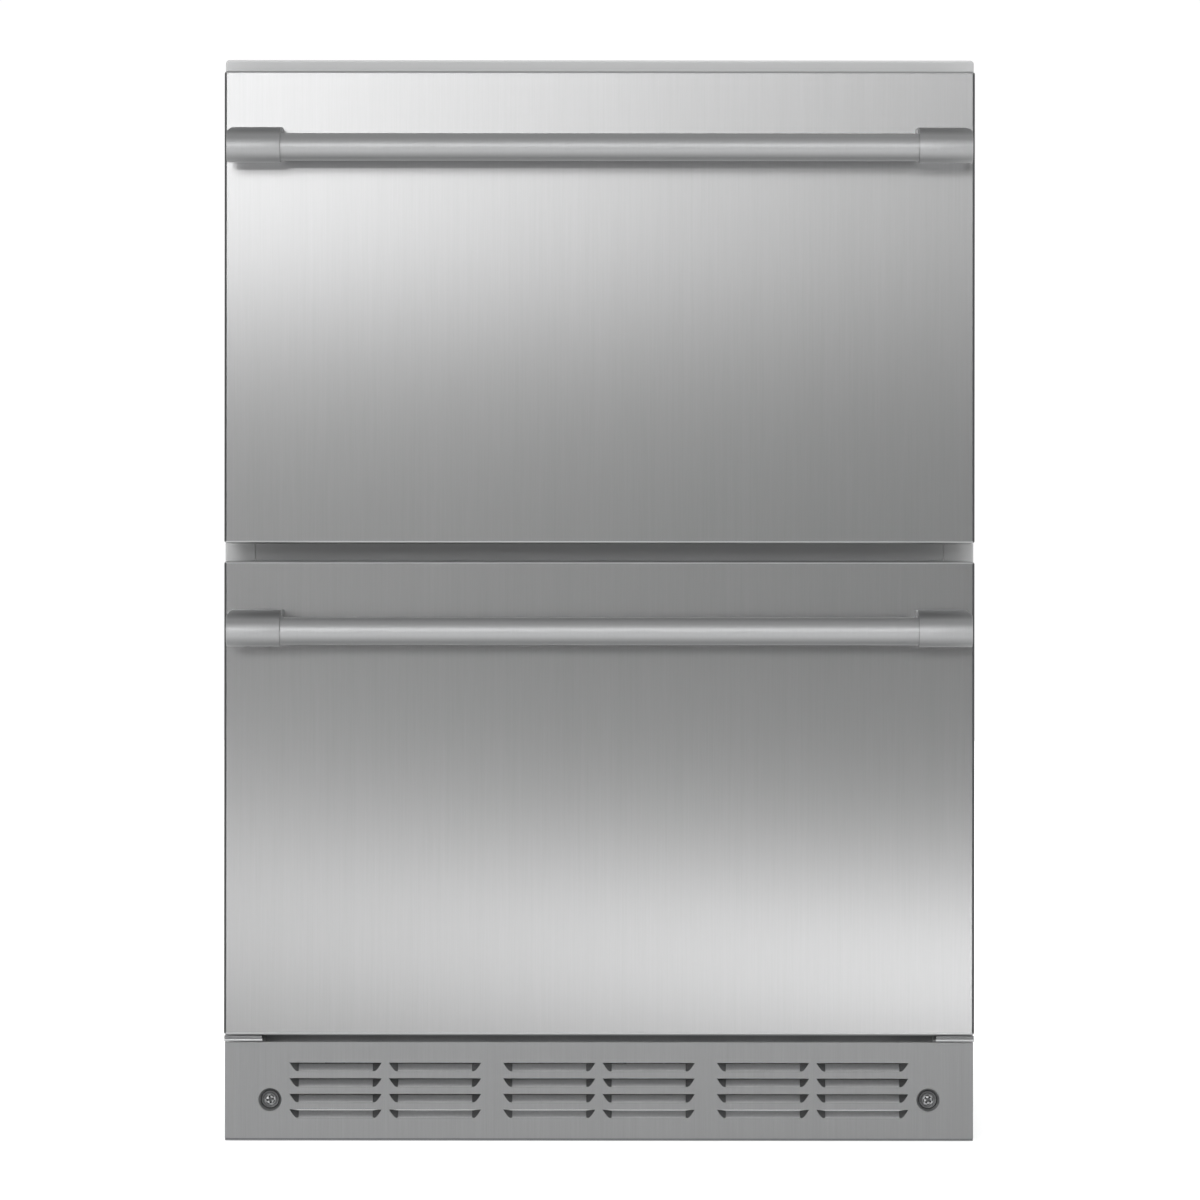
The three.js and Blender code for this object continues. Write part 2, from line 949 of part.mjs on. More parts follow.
// ================================================================ drawers
// Runner members: sections drawn as (distance from the liner wall, height from the runner's
// centre line), three channels nested in each other.
const RUNNER = {
  cabinet: [
    [0.3, -22.5],
    [11.5, -22.5],
    [11.5, -21.2],
    [1.6, -21.2],
    [1.6, 21.2],
    [11.5, 21.2],
    [11.5, 22.5],
    [0.3, 22.5],
  ],
  middle: [
    [3.0, -18.2],
    [12.2, -18.2],
    [12.2, -16.9],
    [4.3, -16.9],
    [4.3, 16.9],
    [12.2, 16.9],
    [12.2, 18.2],
    [3.0, 18.2],
  ],
  drawer: [
    [5.9, -13.9],
    [13.2, -13.9],
    [13.2, 13.9],
    [5.9, 13.9],
    [5.9, 12.6],
    [11.9, 12.6],
    [11.9, -12.6],
    [5.9, -12.6],
  ],
};
const runner = (member, side, length) =>
  push(
    polygon(RUNNER[member].map(([u, z]) => [side * (LINER_X - u), z])),
    "y",
    0,
    length,
  );

// One end bracket, its outer end at x = 0 and the bar's centre line at (-HANDLE_OUT, 0) in
// (y, z): a flat-topped arm off the drawer front that rolls round the bar.
function handleBracket() {
  const at = (degrees) => {
    const t = (degrees * Math.PI) / 180;
    return [-HANDLE_OUT - SLEEVE_R * Math.cos(t), SLEEVE_R * Math.sin(t)];
  };
  const p = new THREE.Shape();
  p.moveTo(-GAP, -8.2);
  p.lineTo(-GAP, ARM_TOP);
  p.lineTo(-26, ARM_TOP);
  p.bezierCurveTo(-38, ARM_TOP, -51.2, 14.0, ...at(30));
  for (let a = 20; a >= -90; a -= 10) p.lineTo(...at(a));
  p.bezierCurveTo(-33, -12.4, -30, -7, -22, -7);
  p.bezierCurveTo(-12, -7, -6, -7.2, -GAP, -8.2);
  return cut(
    join([
      push(p, "x", 0, SLEEVE_L, { curveSegments: 5 }),
      // the arm's root reaches a little further in than the sleeve
      push(
        polygon([
          [-GAP, -7.8],
          [-GAP, ARM_TOP],
          [-25, ARM_TOP],
          [-25, -6],
          [-12, -6.5],
        ]),
        "x",
        SLEEVE_L - 2,
        SLEEVE_L + 0.8,
      ),
    ]),
    [
      // chamfer along the outer top edge
      push(
        polygon([
          [-1, 11.7],
          [4.3, 18.1],
          [-1, 18.1],
        ]),
        "y",
        -80,
        5,
      ),
      // socket for the bar
      rod(
        "x",
        SLEEVE_L - 22.5,
        SLEEVE_L + 20,
        -HANDLE_OUT,
        0,
        HANDLE_R + GAP,
        40,
      ),
    ],
  );
}

function buildDrawer(d) {
  const body = group(root); // everything that slides with the drawer
  const n = (what) => d.name + "_" + what;

  // --- front: a steel pan with folded edges
  const front = group(body, 0, 0, d.z0);
  const R = FRONT_EDGE;
  const pan = new THREE.ExtrudeGeometry(
    roundedRect(-HALF + R, HALF - R, R, d.h - R, 0.5),
    {
      depth: 60,
      bevelEnabled: true,
      bevelThickness: R,
      bevelSize: R,
      bevelSegments: 4,
      curveSegments: 2,
    },
  );
  // the bevelled far end of the extrusion becomes the outer face, at y = 0
  pan.applyMatrix4(
    new THREE.Matrix4().set(
      ...[1, 0, 0, 0],
      ...[0, 0, -1, 60 + R],
      ...[0, 1, 0, 0],
      ...[0, 0, 0, 1],
    ),
  );
  part(
    front,
    n("front_skin"),
    cut(solid(pan), [
      box(
        -HALF + FRONT_T,
        HALF - FRONT_T,
        FRONT_T + 0.6,
        90,
        FRONT_T,
        d.h - FRONT_T,
      ),
      box(-HALF - 5, HALF + 5, FRONT_RETURN, 120, -5, d.h + 5),
    ]),
    brushedSteel,
  );

  // --- inner panel: a formed tray, open to the steel front, that holds the front's foam
  const i = FRONT_T + GAP,
    y0 = FRONT_T + 0.6 + GAP,
    plug0 = d.boxZ - d.z0 - 2,
    plug1 = d.boxZ - d.z0 + d.boxH - 8;
  part(
    front,
    n("inner_panel"),
    cut(
      join([
        box(-HALF + i, HALF - i, y0, FRONT_RETURN + 0.5, i, d.h - i),
        push(
          roundedRect(-HALF + 2, HALF - 2, 2, d.h - 2, 5),
          "y",
          FRONT_RETURN,
          PANEL_BACK,
          { curveSegments: 3 },
        ),
        box(-256, 256, PANEL_BACK - 1, PANEL_BACK + PLUG, plug0, plug1),
      ]),
      [
        box(-HALF + 8, HALF - 8, y0 - 5, PANEL_BACK - 3, 8, d.h - 8),
        box(-250, 250, y0, PANEL_BACK + PLUG - 3, plug0 + 6, plug1 - 6),
      ],
    ),
    innerPlastic,
  );

  // --- magnetic gasket: a foot, a bellows and a sealing strip
  const [g0, g1] = d.gasket.map((z) => z - d.z0);
  const ring = (inset, w, ya, yb, r) =>
    cut(
      push(
        roundedRect(-297 + inset, 297 - inset, g0 + inset, g1 - inset, r),
        "y",
        ya,
        yb,
        { curveSegments: 3 },
      ),
      [
        box(
          -297 + inset + w,
          297 - inset - w,
          ya - 5,
          yb + 5,
          g0 + inset + w,
          g1 - inset - w,
        ),
      ],
    );
  const seal = FACE_Y - GAP;
  part(
    front,
    n("gasket"),
    join([
      ring(0, 14, PANEL_BACK + GAP, PANEL_BACK + 2.6, 4),
      ring(1.5, 10, PANEL_BACK + 2.5, seal - 1.4, 3),
      ring(2.8, 7.4, seal - 1.5, seal, 2),
    ]),
    gasketRubber,
  );

  // --- handle: a bar held in the sockets of its two end brackets
  const handle = group(body, 0, 0, d.handle);
  const barHalf = HANDLE_HALF - SLEEVE_L + 22;
  part(
    handle,
    n("handle_bar"),
    rod("x", -barHalf, barHalf, -HANDLE_OUT, 0, HANDLE_R, 40),
    handleSteel,
  );
  for (const [side, s] of SIDES) {
    const g = geometryOf(handleBracket()).translate(-HANDLE_HALF, 0, 0);
    if (s > 0) g.scale(-1, 1, 1);
    part(handle, n("handle_bracket_" + side), solid(g), handleSteel);
  }

  // --- drawer box: folded steel, round corners, flanged rim, slots in floor and back
  const tubY = PANEL_BACK + PLUG + GAP;
  const T = BOX_T,
    L = d.boxDepth,
    H = d.boxH,
    few = { curveSegments: 3 };
  const plan = (inset, r) =>
    roundedRect(-BOX_X + inset, BOX_X - inset, inset, L - inset, r);
  const slots = [];
  for (const at of [0.3, 0.7])
    for (let k = 0; k < 5; k++)
      slots.push(
        box(-215 + k * 90, -145 + k * 90, L * at - 3, L * at + 3, -5, 5),
      );
  for (let k = 0; k < 4; k++)
    for (const z of [H - 46, H - 60])
      slots.push(box(-190 + k * 100, -110 + k * 100, L - 5, L + 3, z, z + 6));
  part(
    group(body, 0, tubY, d.boxZ),
    n("drawer_box"),
    cut(
      join([
        cut(push(plan(0, 12), "z", 0, H, few), [
          push(plan(T, 12 - T), "z", T, H + 5, few),
        ]),
        cut(push(roundedRect(-256, 256, 0, L + 6, 14), "z", H - 8, H, few), [
          push(plan(T, 12 - T), "z", H - 10, H + 5, few),
          push(
            roundedRect(-256 + T, 256 - T, T, L + 6 - T, 14 - T),
            "z",
            H - 10,
            H - T,
            few,
          ),
        ]),
      ]),
      slots,
    ),
    boxSteel,
  );

  // --- telescopic runners, one each side, in three members
  for (const [side, s] of SIDES) {
    part(
      cabinet,
      n("runner_cabinet_" + side),
      runner("cabinet", s, d.runnerL),
      runnerZinc,
      0,
      d.runnerY,
      d.runnerZ,
    );
    part(
      root,
      n("runner_middle_" + side),
      runner("middle", s, d.runnerL - 8),
      runnerZinc,
      0,
      d.runnerY + 4,
      d.runnerZ,
    );
    part(
      body,
      n("runner_drawer_" + side),
      runner("drawer", s, d.runnerL),
      runnerZinc,
      0,
      d.runnerY,
      d.runnerZ,
    );
  }
  return { body, tubY };
}
const upper = buildDrawer(UPPER);
buildDrawer(LOWER);

// Clear divider that hooks over the upper drawer box's rim and slides along it.
{
  const H = UPPER.boxH;
  const hooks = SIDES.flatMap(([, s]) => {
    const span = (a, b) => (s < 0 ? [-b, -a] : [a, b]);
    return [
      box(...span(246, 258), -9, 11, H + GAP, H + 2.3),
      box(...span(256.3, 258), -9, 11, H - 8, H + 2.3),
    ];
  });
  part(
    upper.body,
    "upper_divider",
    join([
      cut(
        push(roundedRect(-248.2, 248.2, 3, H + 2.3, 3), "y", 0, 2.5, {
          curveSegments: 2,
        }),
        [
          push(roundedRect(-60, 60, H - 40, H - 18, 10), "y", -5, 8, {
            curveSegments: 4,
          }),
        ],
      ),
      ...hooks,
    ]),
    clearPlastic,
    0,
    upper.tubY + 220,
    UPPER.boxZ,
  );
}

export default root;
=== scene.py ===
import math

import bmesh
import bpy
from mathutils import Matrix, Vector


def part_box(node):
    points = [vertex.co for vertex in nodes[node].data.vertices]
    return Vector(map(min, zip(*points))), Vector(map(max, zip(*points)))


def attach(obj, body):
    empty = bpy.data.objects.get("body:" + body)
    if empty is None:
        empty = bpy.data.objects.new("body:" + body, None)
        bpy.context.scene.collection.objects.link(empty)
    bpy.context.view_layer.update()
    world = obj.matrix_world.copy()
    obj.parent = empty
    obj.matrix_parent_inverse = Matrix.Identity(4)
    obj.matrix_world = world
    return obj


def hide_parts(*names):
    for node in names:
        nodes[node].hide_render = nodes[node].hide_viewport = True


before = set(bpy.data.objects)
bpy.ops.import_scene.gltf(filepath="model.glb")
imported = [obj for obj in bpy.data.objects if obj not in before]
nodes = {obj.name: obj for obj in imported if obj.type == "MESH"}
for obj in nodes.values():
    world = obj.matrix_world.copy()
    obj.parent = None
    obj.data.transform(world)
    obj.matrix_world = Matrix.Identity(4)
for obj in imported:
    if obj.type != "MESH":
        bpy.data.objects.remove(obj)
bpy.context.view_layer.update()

scene = bpy.context.scene

# ------------------------------------------------------------------ dimensions, in millimetres
# x and z are the row frame's. y = 0 is the outer face of the drawer fronts, and SHIFT takes it
# to the row frame.
SHIFT = -273.55
HALF = 301.5
DRAWERS = {
    "upper": dict(z0=480.5, h=379.9, handle=795.9, box=508.0, boxh=262.0, depth=436.0,
                  gasket=(483.0, 856.0), rz=575.0, ry=60.0, rl=416.0),
    "lower": dict(z0=85.4, h=381.2, handle=410.5, box=122.0, boxh=250.0, depth=332.0,
                  gasket=(90.0, 463.5), rz=190.0, ry=52.0, rl=328.0),
}
EDGE = 2.2  # fold radius round a drawer front
RETURN = 22.0
BAR_R, SLEEVE_R, BAR_OUT = 11.0, 12.4, 45.0
BRACKET_END, SLEEVE_L, ARM_TOP = 296.8, 42.6, 17.0
KICK_Y, KICK_Z0, KICK_Z1, KICK_T = 10.0, 1.8, 79.4, 1.2
SCREW_X, SCREW_Z = 264.9, 32.9
LOUVRE_TOP, LOUVRE_PITCH, LOUVRE_H = 62.6, 12.55, 6.7
LOUVRE_HALF, LOUVRE_TAPER, LOUVRE_PAIR, PAIR_PITCH = 36.9, 5.9, 40.0, 172.0
LINER_X = 263.5


def place(x, y, z):
    return (x / 1000.0, (y + SHIFT) / 1000.0, z / 1000.0)


# ------------------------------------------------------------------ materials
class Shader:
    """A principled material with a few short-hands for its nodes."""

    def __init__(self, name, **sockets):
        self.material = bpy.data.materials.new(name)
        self.material.use_nodes = True
        self.tree = self.material.node_tree
        self.tree.nodes.clear()
        self.out = out = self.node("ShaderNodeOutputMaterial")
        self.bsdf = self.node("ShaderNodeBsdfPrincipled")
        self.tree.links.new(self.bsdf.outputs[0], out.inputs[0])
        for key, value in sockets.items():
            self.bsdf.inputs[key.replace("_", " ")].default_value = value

    def node(self, kind, inputs=None, **settings):
        n = self.tree.nodes.new(kind)
        for key, value in settings.items():
            setattr(n, key, value)
        for key, value in (inputs or {}).items():
            if hasattr(value, "is_output"):
                self.tree.links.new(value, n.inputs[key])
            else:
                n.inputs[key].default_value = value
        return n

    def spot(self, scale):
        """Object coordinates, scaled per axis."""
        at = self.node("ShaderNodeTexCoord").outputs["Object"]
        return self.node(
            "ShaderNodeMapping", {"Vector": at, "Scale": scale}
        ).outputs[0]

    def noise(self, scale, detail=3.0, rough=0.55, distortion=0.0):
        s = scale if isinstance(scale, (tuple, list)) else (scale,) * 3
        return self.node(
            "ShaderNodeTexNoise",
            {"Vector": self.spot(s), "Scale": 1.0, "Detail": detail,
             "Roughness": rough, "Distortion": distortion},
        ).outputs[0]

    def remap(self, value, low, high, a=0.0, b=1.0):
        return self.node(
            "ShaderNodeMapRange",
            {"Value": value, "From Min": a, "From Max": b, "To Min": low,
             "To Max": high},
        ).outputs[0]

    def math(self, kind, a, b=0.0):
        return self.node("ShaderNodeMath", {0: a, 1: b}, operation=kind).outputs[0]

    def tint(self, value, dark, light):
        mix = self.node("ShaderNodeMix", data_type="RGBA")
        self.tree.links.new(value, mix.inputs[0])
        mix.inputs[6].default_value = (*dark, 1)
        mix.inputs[7].default_value = (*light, 1)
        return mix.outputs[2]

    def color(self, socket):
        self.tree.links.new(socket, self.bsdf.inputs["Base Color"])

    def rough(self, socket):
        self.tree.links.new(socket, self.bsdf.inputs["Roughness"])

    def bump(self, height, strength, distance):
        b = self.node(
            "ShaderNodeBump",
            {"Height": height, "Strength": strength, "Distance": distance},
        ).outputs[0]
        self.tree.links.new(b, self.bsdf.inputs["Normal"])

    def tangent(self, vector):
        v = self.node("ShaderNodeCombineXYZ", {"X": vector[0], "Y": vector[1], "Z": vector[2]})
        self.tree.links.new(v.outputs[0], self.bsdf.inputs["Tangent"])

    def haze(self, share, roughness, anisotropic, vector):
        """A broader second lobe, mixed in: the light that fine scratches scatter sideways."""
        wide = self.node("ShaderNodeBsdfPrincipled")
        wide.inputs["Metallic"].default_value = 1.0
        wide.inputs["Roughness"].default_value = roughness
        wide.inputs["Anisotropic"].default_value = anisotropic
        source = self.bsdf.inputs["Base Color"].links[0].from_socket
        self.tree.links.new(source, wide.inputs["Base Color"])
        v = self.node("ShaderNodeCombineXYZ", {"X": vector[0], "Y": vector[1], "Z": vector[2]})
        self.tree.links.new(v.outputs[0], wide.inputs["Tangent"])
        mix = self.node("ShaderNodeMixShader", {0: share, 1: self.bsdf.outputs[0], 2: wide.outputs[0]})
        self.tree.links.new(mix.outputs[0], self.out.inputs[0])


def shade(c, k):
    return tuple(min(1.0, x * k) for x in c)


def brushed(name, color, grain, spread, roughness=0.3, anisotropic=0.85, contrast=0.05,
            swing=0.05, depth=0.00002, fine=1.0, haze=None):
    """Brushed steel. grain is the direction of the scratches ('x', 'y' or 'z'), and spread is
    the direction across them, in which highlights are drawn out."""
    s = Shader(name, Metallic=1.0, Roughness=roughness)
    s.bsdf.inputs["Anisotropic"].default_value = anisotropic
    s.tangent(spread)

    def along(across, length):
        return tuple(length if axis == grain else across for axis in "xyz")

    hair = s.noise(along(2400 * fine, 26), 2.0, 0.6)
    streak = s.noise(along(520 * fine, 5.0), 3.0, 0.62)
    band = s.noise(along(70 * fine, 1.1), 2.0, 0.5)
    cloud = s.noise(3.0, 3.0, 0.55)
    lines = s.math("ADD", s.math("MULTIPLY", hair, 0.45), s.math("MULTIPLY", streak, 0.35))
    lines = s.math("ADD", lines, s.math("MULTIPLY", band, 0.12))
    lines = s.math("ADD", lines, s.math("MULTIPLY", cloud, 0.08))
    s.color(s.tint(s.remap(lines, 0.0, 1.0, 0.3, 0.7), shade(color, 1 - contrast), shade(color, 1 + contrast)))
    s.rough(s.remap(lines, roughness - swing, roughness + swing, 0.3, 0.7))
    if depth:
        s.bump(s.math("ADD", hair, streak), 0.35, depth)
    if haze:
        s.haze(*haze, spread)
    return s.material


def paint_top_shade(material, keep):
    """Painted shade: faces that look up get a darker base colour than the sides."""
    tree = material.node_tree
    up = tree.nodes.new("ShaderNodeSeparateXYZ")
    tree.links.new(tree.nodes.new("ShaderNodeNewGeometry").outputs["Normal"], up.inputs[0])
    fac = tree.nodes.new("ShaderNodeMapRange")
    fac.interpolation_type = "SMOOTHSTEP"
    fac.inputs["From Min"].default_value, fac.inputs["From Max"].default_value = 0.68, 0.95
    tree.links.new(up.outputs[2], fac.inputs["Value"])
    for bsdf in [n for n in tree.nodes if n.bl_idname == "ShaderNodeBsdfPrincipled"]:
        mix = tree.nodes.new("ShaderNodeMix")
        mix.data_type, mix.blend_type = "RGBA", "MULTIPLY"
        tree.links.new(fac.outputs[0], mix.inputs[0])
        tree.links.new(bsdf.inputs["Base Color"].links[0].from_socket, mix.inputs[6])
        mix.inputs[7].default_value = (keep, keep, keep, 1)
        tree.links.new(mix.outputs[2], bsdf.inputs["Base Color"])
    return material


def painted(name, color, roughness=0.38, metallic=0.0, peel=0.00001):
    """Sprayed coat: faint orange peel, a little unevenness and light handling marks."""
    s = Shader(name, Metallic=metallic, Roughness=roughness)
    s.bsdf.inputs["Coat Weight"].default_value = 0.12
    s.bsdf.inputs["Coat Roughness"].default_value = 0.22
    cloud = s.noise(4.0, 3.0, 0.5)
    grain = s.noise(1500.0, 2.0, 0.6)
    mix = s.math("ADD", s.math("MULTIPLY", cloud, 0.6), s.math("MULTIPLY", grain, 0.4))
    s.color(s.tint(s.remap(mix, 0, 1, 0.15, 0.85), shade(color, 0.96), shade(color, 1.04)))
    s.rough(s.remap(mix, roughness - 0.04, roughness + 0.05, 0.15, 0.85))
    s.bump(s.noise(650.0, 2.0, 0.5), 0.3, peel)
    return s.material


def moulded(name, color, roughness=0.45, texture=900.0, depth=0.00002, contrast=0.03):
    """Moulded plastic or rubber with a fine eroded texture."""
    s = Shader(name, Roughness=roughness)
    cloud = s.noise(9.0, 4.0, 0.6)
    grain = s.noise(texture, 3.0, 0.65)
    mix = s.math("ADD", s.math("MULTIPLY", cloud, 0.6), s.math("MULTIPLY", grain, 0.4))
    s.color(s.tint(s.remap(mix, 0, 1, 0.35, 0.65), shade(color, 1 - contrast), shade(color, 1 + contrast)))
    s.rough(s.remap(mix, roughness - 0.06, roughness + 0.07, 0.35, 0.65))
    s.bump(grain, 0.5, depth)
    return s.material


def galvanised(name, color, roughness=0.42, cells=120.0):
    """Zinc-coated sheet: crystal flowers of slightly different tone and gloss."""
    s = Shader(name, Metallic=0.92, Roughness=roughness)
    warp = s.node("ShaderNodeVectorMath", {0: s.spot((cells,) * 3)}, operation="ADD")
    wobble = s.node("ShaderNodeTexNoise", {"Vector": s.spot((cells * 1.6,) * 3), "Scale": 1.0, "Detail": 3.0})
    s.tree.links.new(wobble.outputs["Color"], warp.inputs[1])
    cell = s.node("ShaderNodeTexVoronoi", {"Vector": warp.outputs[0], "Scale": 1.0})
    tone = s.node("ShaderNodeSeparateColor", {"Color": cell.outputs["Color"]}).outputs[0]
    cloud = s.noise(6.0, 4.0, 0.6)
    mix = s.math("ADD", s.math("MULTIPLY", tone, 0.6), s.math("MULTIPLY", cloud, 0.4))
    s.color(s.tint(mix, shade(color, 0.88), shade(color, 1.12)))
    s.rough(s.remap(mix, roughness - 0.05, roughness + 0.08))
    s.bump(s.noise(1300.0, 2.0, 0.5), 0.25, 0.00001)
    return s.material


FRONT_STEEL = brushed("front_steel", (0.609, 0.61, 0.613), "z", (1, 0, 0), 0.15, 0.89, 0.045, 0.01, 0, haze=(0.4, 0.278, 0.444))
KICK_STEEL = brushed("kick_steel", (0.352, 0.355, 0.358), "z", (1, 0, 0), 0.17, 0.85, 0.07, 0.02, 0.00001, 0.8, haze=(0.85, 0.4, 0.3))
SHELL_PAINT = painted("silver_coat", (0.40, 0.402, 0.404), 0.42)
FOLD_STEEL = brushed("fold_steel", (0.6, 0.605, 0.61), "x", (1, 0, 0), 0.3, 0.4, 0.04, 0.02, 0)
# painted shade: dark steel for the drawer fronts' side folds and the screw recesses
EDGE_PAINTED_SHADE = brushed("edge_painted_shade_steel", (0.13, 0.132, 0.134), "z", (0, 0, 1), 0.42, 0.0, 0.1, 0.04, 0)
CUP_STEEL = brushed("cup_steel", (0.42, 0.423, 0.426), "x", (1, 0, 0), 0.42, 0.0, 0.1, 0.05, 0.00001)
# painted shade: dark steel for the floor of the screw cups
CUP_FLOOR_PAINTED_SHADE = brushed("cup_floor_painted_shade_steel", (0.14, 0.142, 0.144), "x", (1, 0, 0), 0.45, 0.0, 0.12, 0.05, 0.00001)
# painted shade: a dark steel for the louvre ends, bracket inner ends, corner plate lips and the sill rail, where shade
# falls
PAINTED_SHADE_STEEL = brushed("painted_shade_steel", (0.29, 0.293, 0.296), "y", (0, 0, 1), 0.5, 0.0, 0.15, 0.05, 0.00002, 0.6)
# painted light: the blades are lighter than the kick sheet they are lanced from
BLADE_PAINTED_LIGHT_STEEL = brushed("blade_painted_light_steel", (0.68, 0.685, 0.69), "z", (1, 0, 0), 0.5, 0.3, 0.09, 0.05, 0.00002, 0.8, haze=(0.5, 0.8, 0.0))
HANDLE_STEEL = brushed("handle_steel", (0.57, 0.575, 0.58), "z", (1, 0, 0), 0.5, 0.25, 0.035, 0.004, 0, 0.7)
# painted shade: the brackets' upward faces are darkened
BRACKET_STEEL = paint_top_shade(brushed("bracket_steel", (0.55, 0.555, 0.56), "z", (1, 0, 0), 0.52, 0.1, 0.04, 0.006, 0, 0.7), 0.6)
FRAME_STEEL = brushed("cabinet_steel", (0.55, 0.555, 0.56), "x", (1, 0, 0), 0.17, 0.85, 0.05, 0.02, 0.00001, 0.8, haze=(0.3, 0.34, 0.3))
BOX_STEEL = brushed("box_steel", (0.62, 0.625, 0.63), "x", (0, 0.3, 1), 0.3, 0.6, 0.05, 0.05)
RUNNER_STEEL = brushed("runner_steel", (0.55, 0.56, 0.57), "y", (0.3, 0, 1), 0.3, 0.5, 0.06, 0.06)
ZINC = galvanised("galvanised", (0.5, 0.51, 0.525))
SCREW_STEEL = brushed("screw_steel", (0.52, 0.525, 0.53), "x", (0, 0, 1), 0.3, 0.2, 0.05, 0.05, 0.00001, 1.2)
LINER = moulded("liner_plastic", (0.78, 0.79, 0.79), 0.36, 700.0, 0.00001, 0.015)
INNER = moulded("inner_plastic", (0.66, 0.67, 0.67), 0.42, 800.0, 0.00002, 0.02)
RUBBER = moulded("gasket_rubber", (0.12, 0.125, 0.13), 0.62, 600.0, 0.00003, 0.06)
BLACK_PLASTIC = moulded("black_plastic", (0.018, 0.019, 0.02), 0.5, 700.0, 0.00004, 0.1)
BLACK_PAINT = painted("black_paint", (0.012, 0.012, 0.013), 0.34)
LENS = moulded("light_lens", (0.9, 0.91, 0.92), 0.25, 300.0, 0.00001, 0.01)
FOAM = moulded("foam", (0.76, 0.66, 0.36), 0.85, 260.0, 0.0004, 0.12)
COPPER = brushed("copper", (0.72, 0.36, 0.22), "x", (0, 0, 1), 0.32, 0.2, 0.12, 0.08, 0.00002, 0.4)
FIN = brushed("fin_aluminium", (0.66, 0.67, 0.68), "z", (1, 0, 0), 0.35, 0.4, 0.05, 0.05)


def display_glass():
    s = Shader("display_glass", Roughness=0.06)
    s.bsdf.inputs["Coat Weight"].default_value = 1.0
    s.bsdf.inputs["Coat Roughness"].default_value = 0.03
    s.color(s.tint(s.noise(40.0, 3.0), (0.006, 0.007, 0.009), (0.012, 0.013, 0.016)))
    s.rough(s.remap(s.noise(120.0, 4.0), 0.04, 0.11, 0.3, 0.7))
    return s.material


def clear_plastic():
    s = Shader("clear_plastic", Roughness=0.04, IOR=1.49)
    s.bsdf.inputs["Transmission Weight"].default_value = 0.96
    s.color(s.tint(s.noise(12.0, 3.0), (0.9, 0.94, 0.95), (0.97, 0.985, 0.99)))
    s.rough(s.remap(s.noise(60.0, 4.0), 0.02, 0.09, 0.35, 0.7))
    return s.material


DISPLAY, CLEAR = display_glass(), clear_plastic()
led = Shader("display_light", Roughness=0.4)
led.color(led.tint(led.noise(300.0), (0.5, 0.6, 0.65), (0.7, 0.8, 0.85)))
led.bsdf.inputs["Emission Color"].default_value = (0.62, 0.86, 1.0, 1)
led.bsdf.inputs["Emission Strength"].default_value = 2.2
LED = led.material


# ------------------------------------------------------------------ mesh helpers
def link(name, me, material, body=None, replaces=(), smooth=32.0):
    ob = bpy.data.objects.new(name, me)
    scene.collection.objects.link(ob)
    me.materials.clear()
    me.materials.append(material)
    if smooth:
        me.polygons.foreach_set("use_smooth", [True] * len(me.polygons))
        me.set_sharp_from_angle(angle=math.radians(smooth))
    me.update()
    if body:
        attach(ob, body)
    if replaces:
        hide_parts(*replaces)
    return ob


def mesh(name, verts, faces, weld=1e-6, mm=True):
    me = bpy.data.meshes.new(name)
    me.from_pydata([place(*v) if mm else v for v in verts], [], faces)
    bm = bmesh.new()
    bm.from_mesh(me)
    bmesh.ops.remove_doubles(bm, verts=bm.verts, dist=weld)
    bmesh.ops.recalc_face_normals(bm, faces=bm.faces)
    bm.to_mesh(me)
    bm.free()
    return me


def joined(name, meshes):
    """Several meshes as one."""
    verts, faces = [], []
    for me in meshes:
        n = len(verts)
        verts += [tuple(v.co) for v in me.vertices]
        faces += [[n + i for i in p.vertices] for p in me.polygons]
    me = bpy.data.meshes.new(name)
    me.from_pydata(verts, [], faces)
    me.update()
    return me


def finished(me, bevel=0.0, segments=2, angle=35.0, cutters=()):
    """The mesh after its cuts and a rounding of its edges."""
    ob = bpy.data.objects.new("work", me)
    scene.collection.objects.link(ob)
    tools = []
    for c in cutters:
        t = bpy.data.objects.new("tool", c)
        scene.collection.objects.link(t)
        tools.append(t)
        m = ob.modifiers.new("cut", "BOOLEAN")
        m.operation, m.solver, m.object = "DIFFERENCE", "EXACT", t
    if bevel:
        m = ob.modifiers.new("bevel", "BEVEL")
        m.width, m.segments, m.limit_method = bevel / 1000.0, segments, "ANGLE"
        m.angle_limit = math.radians(angle)
        m.miter_outer = "MITER_ARC"
    dg = bpy.context.evaluated_depsgraph_get()
    out = bpy.data.meshes.new_from_object(ob.evaluated_get(dg))
    for o in [ob, *tools]:
        bpy.data.objects.remove(o)
    return out


def loft(name, loops, cap=(True, True), closed=False):
    """Loops of equal length, joined in turn."""
    n = len(loops[0])
    verts = [v for lp in loops for v in lp]
    faces = []
    count = len(loops) if closed else len(loops) - 1
    for i in range(count):
        a, b = i * n, ((i + 1) % len(loops)) * n
        for k in range(n):
            q = (k + 1) % n
            faces.append([a + k, a + q, b + q, b + k])
    if not closed:
        if cap[0]:
            faces.append(list(range(n)))
        if cap[1]:
            faces.append(list(range((len(loops) - 1) * n, len(loops) * n)))
    return mesh(name, verts, faces)


def rect_loop(x0, x1, z0, z1, r, y, steps=6):
    """A rounded rectangle at depth y, drawn in x and z."""
    pts = []
    for cx, cz, start in (
        (x1 - r, z1 - r, 0), (x0 + r, z1 - r, 90), (x0 + r, z0 + r, 180), (x1 - r, z0 + r, 270)
    ):
        for k in range(steps + 1):
            t = math.radians(start + 90 * k / steps)
            pts.append((cx + r * math.cos(t), y, cz + r * math.sin(t)))
    return pts


def plan_loop(x0, x1, y0, y1, r, z, steps=6):
    """A rounded rectangle at height z, drawn in x and y."""
    return [(x, q, z) for x, _, q in rect_loop(x0, x1, y0, y1, r, 0, steps)]


